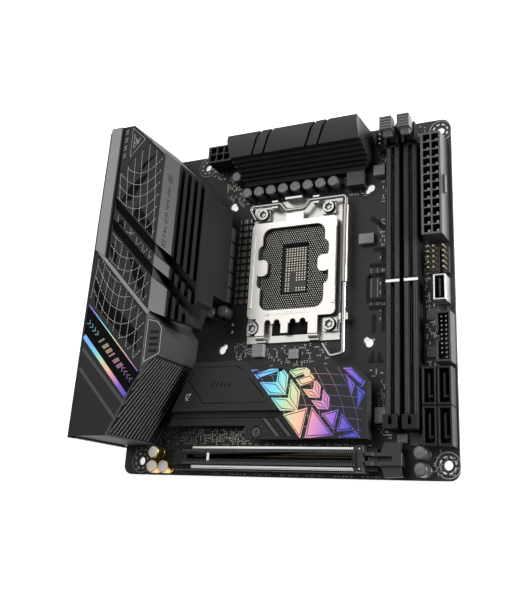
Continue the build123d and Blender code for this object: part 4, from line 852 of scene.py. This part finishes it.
boxes("usb_tongues", [(port_face + 3.0, y, z + 1.3) for y, z in usb_at], (2.05, 5.65, 0.95),
      moulded("tongue_blue", (0.02, 0.12, 0.22), 0.45), slot="port_steel")
boxes("usb_strips", [(port_face + 3.0, y + dy, z + 0.33) for y, z in usb_at for dy in (-3.6, -1.2, 1.2, 3.6)],
      (1.7, 0.5, 0.04), gilt, slot="contact_gold")
display_y, usb_c_y, network_y = 71.0, -5.0, 11.5
boxes("display_tongues", [(port_face + 3.0, display_y, 3.7), (port_face + 3.0, display_y, 11.3),
                          (port_face + 3.2, usb_c_y, 2.2)],
      [(2.05, 5.45, 0.76), (2.05, 6.45, 0.76), (2.1, 3.45, 0.39)], port_black, slot="port_steel")
boxes("network_wires", [(port_face + 4.0, network_y + 1.02 * (k - 3.5), 9.9) for k in range(8)],
      (3.0, 0.16, 0.12), gilt, slot="contact_gold")
boxes("network_lights", [(port_face, network_y + dy, 12.3) for dy in (-5.4, 5.4)], (0.06, 1.5, 0.55),
      moulded("light_window", (0.35, 0.42, 0.20), 0.3), slot="port_steel")


def facing_rear(points):
    """Turn points made on the flat so that what pointed up points along x, towards the front."""
    return points[:, (2, 1, 0)] * (1, 1, -1)


for z, ring in ((6.0, (0.50, 0.16, 0.22)), (18.0, (0.14, 0.42, 0.16)), (30.0, (0.16, 0.34, 0.55))):
    flat(f"jack_ring_{z:.0f}", [circle(-z, -58.0, 2.9, 28)], moulded(f"ring_ink_{z:.0f}", ring, 0.4),
         (port_face, "black_resin"), 1.0, -0.46, -0.38, closed=True, place=facing_rear)
thread = [(3.1 + 0.16 * (k % 2), -96.9 + 0.3 * k) for k in range(24)]
turned("antenna_threads", [(-z, -20.0, 0) for z in (8.5, 22.0)], thread, 24, gilt, place=facing_rear,
       slot="contact_gold")
shield_marks = [(shield_face - 0.02, y + dy, z) for y, z, count in (
    (47.0, 18.6, 4), (30.0, 18.6, 4), (-37.0, 18.6, 4), (display_y, 18.0, 5), (network_y, 16.2, 3),
    (usb_c_y, 7.0, 3), (59.0, 16.6, 4), (-20.0, 28.6, 4), (-58.0, 38.4, 5))
    for dy in np.arange(count) * 1.6 - count * 0.8]
boxes("shield_marks", shield_marks, (0.02, 0.5, 0.35), silk, slot="black_steel")
# painted shade in the shield's slots
boxes("shield_slots", [(shield_face - 0.01, y, z) for y in np.arange(-32.0, 66.0, 5.2)
                       for z in (27.0, 31.0, 35.0) if abs(y + 20) > 10],
      (0.02, 1.9, 0.8), painted_pit_shade, slot="black_steel")

# ---------------- rear cover
# A moulded shroud over the connectors, matt black with printed patterns on its level top, a
# satin rim along the rear edge and a raised rib across. Its slanting near wall is finely ridged.
softened("rear_cover", moulded("cover_moulding", (0.021, 0.0215, 0.023), 0.55, 0.22, 0.02, spread=0.2,
                               shine=0.16), 0.3)
cover_face, bevel_face = (42.0, "cover_resin"), (0.0, "cover_resin")
satin_grey = moulded("satin_rim", (0.20, 0.205, 0.21), 0.4, 0.2, 0.01, spread=0.1, Metallic=0.3)
# black for prints, and painted shade laid over the cover's near wall
print_and_shade_black = moulded("black_print_and_shade", (0.0035, 0.0035, 0.004), 0.7, depth=0.003, shine=0.05)
stripe_and_highlight_grey = moulded("stripe_and_highlight_grey", (0.042, 0.043, 0.045), 0.5, spread=0.15)
grid_ink = moulded("grid_ink", (0.40, 0.40, 0.40), 0.55, spread=0.15)
flat("cover_rim", [[(-87.3, 19.8), (-81.0, 15.9), (-81.0, 88.1), (-87.3, 88.1)]], satin_grey, cover_face,
     low=0.66, high=0.74)
flat("cover_rim_gap", [[(-79.9, 14.6), (-79.9, 88.0)]], print_and_shade_black, cover_face, 1.3)
flat("cover_rib", [[(-85.0, 18.6), (-50.9, -15.2)]], satin_grey, cover_face, 1.5, high=0.55)
flat("cover_seams", [[(-79.0, 62.3), (-60.9, 78.5)], [(-72.6, 86.4), (-53.0, 68.0)]], print_and_shade_black,
     cover_face, 0.34)
# painted highlight along the lip of the first seam
flat("cover_seam_highlights", [[(-79.2, 62.8), (-61.1, 79.0)]], stripe_and_highlight_grey, cover_face, 0.14, high=0.035)

# dark generic shards under the grid, and the floor of both slanting channels
shards = [[(-72.3, 51.6), (-68.4, 58.0), (-55.7, 70.2), (-64.6, 64.9)][::-1],
          [(-76.6, 44.6), (-69.2, 45.1), (-59.6, 59.7), (-70.1, 54.3)],
          [(-67.1, 37.0), (-53.6, 23.6), (-54.6, 29.0), (-64.5, 41.9)],
          [(-67.6, 17.8), (-62.4, 3.8), (-54.4, -8.2), (-55.0, 3.2)],
          [(-86.1, 5.6), (-83.3, -9.4), (-55.6, -33.0), (-55.9, -24.0), (-75.6, -6.6)],
          [(-79.0, 33.4), (-74.4, 32.4), (-71.0, 29.4), (-73.4, 35.0)],
          [(-79.0, 20.0), (-74.8, 10.0), (-73.6, 16.0), (-77.4, 23.0)]]
flat("cover_shards", shards, print_and_shade_black, cover_face, high=0.012)
channels, channel_half = (-34.5, -46.0), 2.75
for number, total in enumerate(channels):
    channel = [(-79.3, total + 79.3 - channel_half), (-52.1, total + 52.1 - channel_half),
               (-52.1, total + 52.1 + channel_half), (-79.3, total + 79.3 + channel_half)]
    flat(f"cover_channel_{number}", [channel], print_and_shade_black, cover_face, low=-1.1, high=-1.07)


def carries_grid(x, y):
    """Whether a spot on the cover's top is printed: off the rim, channels, rib and cut corner."""
    slant = x + y
    return (abs(slant + 34.5) > 3.1 and abs(slant + 46) > 3.1 and abs(slant + 66.3) > 1.2 and slant > -93.5
            and (-79.0 if y > 15 else -86.6) < x < -52.4 and y < 61.5 + 0.895 * (x + 79.0)
            and y < 67.0 - 0.939 * (x + 52.0))


dashes = []
reach = np.arange(-86.6, -52.0, 1.35)
sag_lines = [np.stack([reach, low + 9.0 * ((reach + 65.0) / 14.0) ** 2], 1)
             for low in np.arange(-46.0, 66.0, 6.6)]
rise = np.arange(-50.0, 80.0, 1.35)
for side in (-86.0, -81.5, -77.4, -73.0, -68.8, -64.6, -60.2, -55.6):
    sag_lines.append(np.stack([side + 1.6 * np.sin(rise / 16.0), rise], 1))
for curve in sag_lines:
    for start, end in zip(curve[:-1], curve[1:]):
        if carries_grid(*start) and carries_grid(*end):
            dashes.append([start + 0.1 * (end - start), start + 0.85 * (end - start)])
flat("cover_grid", dashes, grid_ink, cover_face, 0.24, 0.01)

# corner triangle with a generic figure, and small marks beside it
flat("cover_triangle", [[(-74.2, 87.2), (-73.9, 70.0), (-65.4, 79.2)]], grid_ink, cover_face, 0.22,
     closed=True)
corner_marks = [[(-72.6, 83.2), (-72.4, 75.0), (-69.0, 79.2)], [(-71.8, 81.0), (-69.6, 77.0)],
                [(-72.2, 77.6), (-68.6, 80.4)]]
for y in (70.0, 74.6, 79.2, 83.8):
    corner_marks += [[(-78.4, y), (-76.8, y + 1.0)], [(-78.4, y + 1.5), (-76.8, y + 2.5)]]
flat("cover_corner_marks", corner_marks, grid_ink, cover_face, 0.3)

# slanting foil bars with generic arrows between them, and two grey stripes
thin_foil = foil("cover_thin_foil", -77, -11, -1.0, violet, sky, cyan, lime, peach, pink, violet)
bar_foil = foil("cover_bar_foil", -62, -5, -1.0, sky, sky, cyan, lime, peach, pink, violet, indigo)
dim = [share(colour, 0.34) for colour in (sky, cyan, lime, peach, pink, violet)]
arrow_foil = foil("cover_arrow_foil", -72, -12, -1.0, *dim)
flat("cover_dark_band", [[(-87.3, -9.6), (-87.3, -23.2), (-58.0, -52.8), (-52.0, -42.9)]], print_and_shade_black,
     cover_face, high=0.012)
flat("cover_thin_bar", [[(-86.8, -8.8), (-53.2, -42.6)]], thin_foil, cover_face, 0.5)
flat("cover_thick_bar", [[(-87.2, -24.3), (-58.4, -53.6)]], bar_foil, cover_face, 2.1)
arrows = []
for k in range(4):
    for start, way in ((-85.6 + 1.9 * k, 1), (-56.2 - 1.7 * k, -1)):
        tip = np.array([start + 1.0 * way, -103.0 - start - 1.0 * way])
        arrows.append([tip + way * np.array([-1.9, 0.2]), tip, tip + way * np.array([-0.2, 1.9])])
flat("cover_arrows", arrows, arrow_foil, cover_face, 0.5, 0.01)
bars = [slanted(3.4 * k, 2.2 if k % 3 else 1.0, -1.6, 1.6, 1.1) for k in range(6)]
bar_turn = np.array([(0.707, -0.707), (0.707, 0.707)])
flat("cover_bars", [[tuple(np.dot(point, bar_turn) + (-77.0, -26.4)) for point in bar] for bar in bars],
     arrow_foil, cover_face, low=0.01)
flat("cover_stripes", [[(-87.2, -30.4), (-58.6, -57.6)], [(-87.2, -40.0), (-62.4, -64.4)]], stripe_and_highlight_grey,
     cover_face, 1.5)

# badge plate on the bevel, with generic slanted bars
badge = [(0.5, -39.0), (8.5, -33.6), (8.5, -20.0), (5.8, -17.4), (0.5, -17.4)]
badge_high = 0.25
flat("badge_plate", [badge], moulded("badge_face", (0.010, 0.0102, 0.011), 0.5, spread=0.12, shine=0.04),
     bevel_face, high=badge_high, place=on_bevel)
flat("badge_border", [shrunk(badge, 0.6)], moulded("badge_edge", (0.040, 0.0405, 0.042), 0.5), bevel_face,
     0.3, badge_high, 0.3, closed=True, place=on_bevel)
badge_bars = [[(2.6, y - 0.9), (6.8, y - 0.1), (6.8, y + 1.3), (2.6, y + 0.5)]
              for y in (-32.6, -29.6, -26.6, -23.6)]
flat("badge_bars", badge_bars, print_black, bevel_face, low=badge_high, high=0.29, place=on_bevel)

# slender ridges on the near wall, painted lighter than the moulding as a painted highlight, over a painted
# shade laid across the wall
wall_start = np.array((-67.5, -71.4, 0))
wall_along, wall_out = np.array((0.449, 0.893, 0)), np.array((0.893, -0.449, 0))


def on_wall(points):
    """Carry (along the slanting wall, up, outwards) onto it."""
    return wall_start + points[:, :1] * wall_along + points[:, 1:2] * (0, 0, 1) + points[:, 2:] * wall_out


ridges, wall_end = [], 41.0
for k in range(16):
    low, slope = 2.4 + 2.15 * k, 0.17 + 0.016 * k
    end = max(1.4, wall_end - (39.6 - low) / slope)
    ridges.append([(end, low + slope * (wall_end - end)), (wall_end, low)])
wall_face = (0.0, "cover_resin")
flat("cover_wall_ridges", ridges, moulded("ridge_highlights", (0.09, 0.091, 0.095), 0.45, spread=0.2), wall_face,
     0.26, high=0.35, place=on_wall)
flat("cover_wall_shade", [[(1.0, 1.6), (42.0, 1.6), (42.0, 36.0), (26.0, 40.4), (1.0, 40.4)]], print_and_shade_black,
     wall_face, place=on_wall)

# ---------------- coin cell
# A lithium cell in a stainless can stands on edge in its black holder behind the connectors.
softened("coin_cell", brushed("stainless_can", (0.60, 0.60, 0.60), 0.3, (1, 8, 8)), 0.3)
softened("coin_cell_holder", port_black, 0.2)

# ---------------- front-edge connectors
# Black nylon shrouds for drive, panel and fan plugs, with gold-flashed or tinned contacts, and
# one folded steel frame for the newer front port.
softened("storage_connectors", moulded("shroud_nylon", (0.010, 0.010, 0.011), 0.45, shine=0.2), 0.15)
softened("usb_front_header", header_black, 0.12)
softened("usb_c_front_header", brushed("folded_frame", (0.46, 0.455, 0.45), 0.4, (1, 20, 1)), 0.15)
softened("pin_headers", header_black, 0.06, 1)
softened("fan_header", header_black, 0.1)
pin_pitch, power_pitch = 2.54, 4.2
storage_at = [(x, y) for y in (-46.6, -63.4) for x in (74.6, 81.3)]
boxes("storage_contacts", [(x - 0.52, y + 1.27 * (k - 3), 4.6) for x, y in storage_at for k in range(7)],
      (0.05, 0.26, 2.7), gilt, slot="contact_gold")
usb_pins = [(81.4 + 2.0 * (column - 0.5), -25.4 + 2.0 * (row - 4.5), 4.45) for row in range(10)
            for column in (0, 1) if row + column]
boxes("usb_front_pins", usb_pins, (0.28, 0.28, 2.62), pin_tin, slot="pin_metal")
boxes("usb_c_front_tongue", [(80.2, -3.2, 4.62)], (0.44, 4.25, 3.22), port_black, slot="port_steel")
# painted shade on the floor inside the port
boxes("usb_c_front_floor", [(80.2, -3.2, 1.45)], (2.15, 5.15, 0.08), painted_pit_shade, slot="port_steel")
panel_pins = [(x, 11.4 + pin_pitch * (row - 2), 5.57)
              for x in (76.4 - pin_pitch / 2, 76.4 + pin_pitch / 2, 82.1) for row in range(5)]
gold_flash = brushed("gold_flash", (0.34, 0.28, 0.18), 0.36, (1, 1, 30))
boxes("panel_pins", panel_pins, (0.35, 0.35, 3.06), gold_flash, slot="pin_metal")
boxes("fan_pins", [(51.6, 76.6 + pin_pitch * (k - 1.5), 5.82) for k in range(4)], (0.35, 0.35, 2.6), pin_tin,
      slot="pin_metal")

# ---------------- chips and inductors
# Controller chips are black moulded packages on short tinned leads, with a ring marking their
# first lead. The square inductors are pressed powder, one grey block each.
softened("controller_chips", chip_black, 0.1)
softened("small_inductors", choke_grey, 0.25)
chips = [(-30.0, -42.0, 3.0, 3.0), (75.0, -13.4, 2.4, 2.8), (75.0, -30.4, 2.6, 2.6),
         (-57.4, -71.0, 3.0, 2.4), (66.0, -68.1, 2.2, 2.8)]
lead_pitch, leads = 0.8, []
for x, y, half_x, half_y in chips:
    count = int(2 * half_y / lead_pitch) - 1
    leads += [(x + side * (half_x + 0.22), y + lead_pitch * (k - (count - 1) / 2), 0.16)
              for k in range(count) for side in (-1, 1)]
boxes("chip_leads", leads, (0.24, 0.18, 0.12), tinned, slot="solder")
flat("chip_marks", [circle(x - half_x + 0.7, y + half_y - 0.7, 0.28, 10)
                    for x, y, half_x, half_y in chips[1:]], silk, (0.9, "chip_resin"), 0.12, high=0.12,
     closed=True)

# ---------------- solder side
# Every pin that passes through the board ends underneath in a small bright cone of solder.
solder = brushed("solder", (0.56, 0.56, 0.55), 0.34, (1, 1, 1), spread=0.15)
finish_nodes(solder, "solder_joints")
points_under = [(x + dx, y) for x in memory_slots.values() for dx in (-1.9, 1.9)
                for y in np.arange(-60.0, 68.0, 1.7)]
points_under += [(x, slot_y + dy) for dy in (-2.4, 2.4) for x in np.arange(-46.0, 42.0, 2.0)]
points_under += [(78.3 + power_pitch * (column - 0.5), 45.9 + power_pitch * (row - 5.5))
                 for column in (0, 1) for row in range(12) if row % 3]
points_under += [(x, y) for x, y, _ in usb_pins + panel_pins]
points_under += [(-81.0 + 2.2 * (k % 4), y + 2.0 * (k // 4) - 2.0) for y in (-37.0, 11.5, 30.0, 47.0, 71.0)
                 for k in range(12)]
turned("solder_points", [(x, y, 0) for x, y in points_under],
       [(0.12, -2.9), (0.35, -2.3), (0.7, -1.62)], 8, solder, slot="solder")
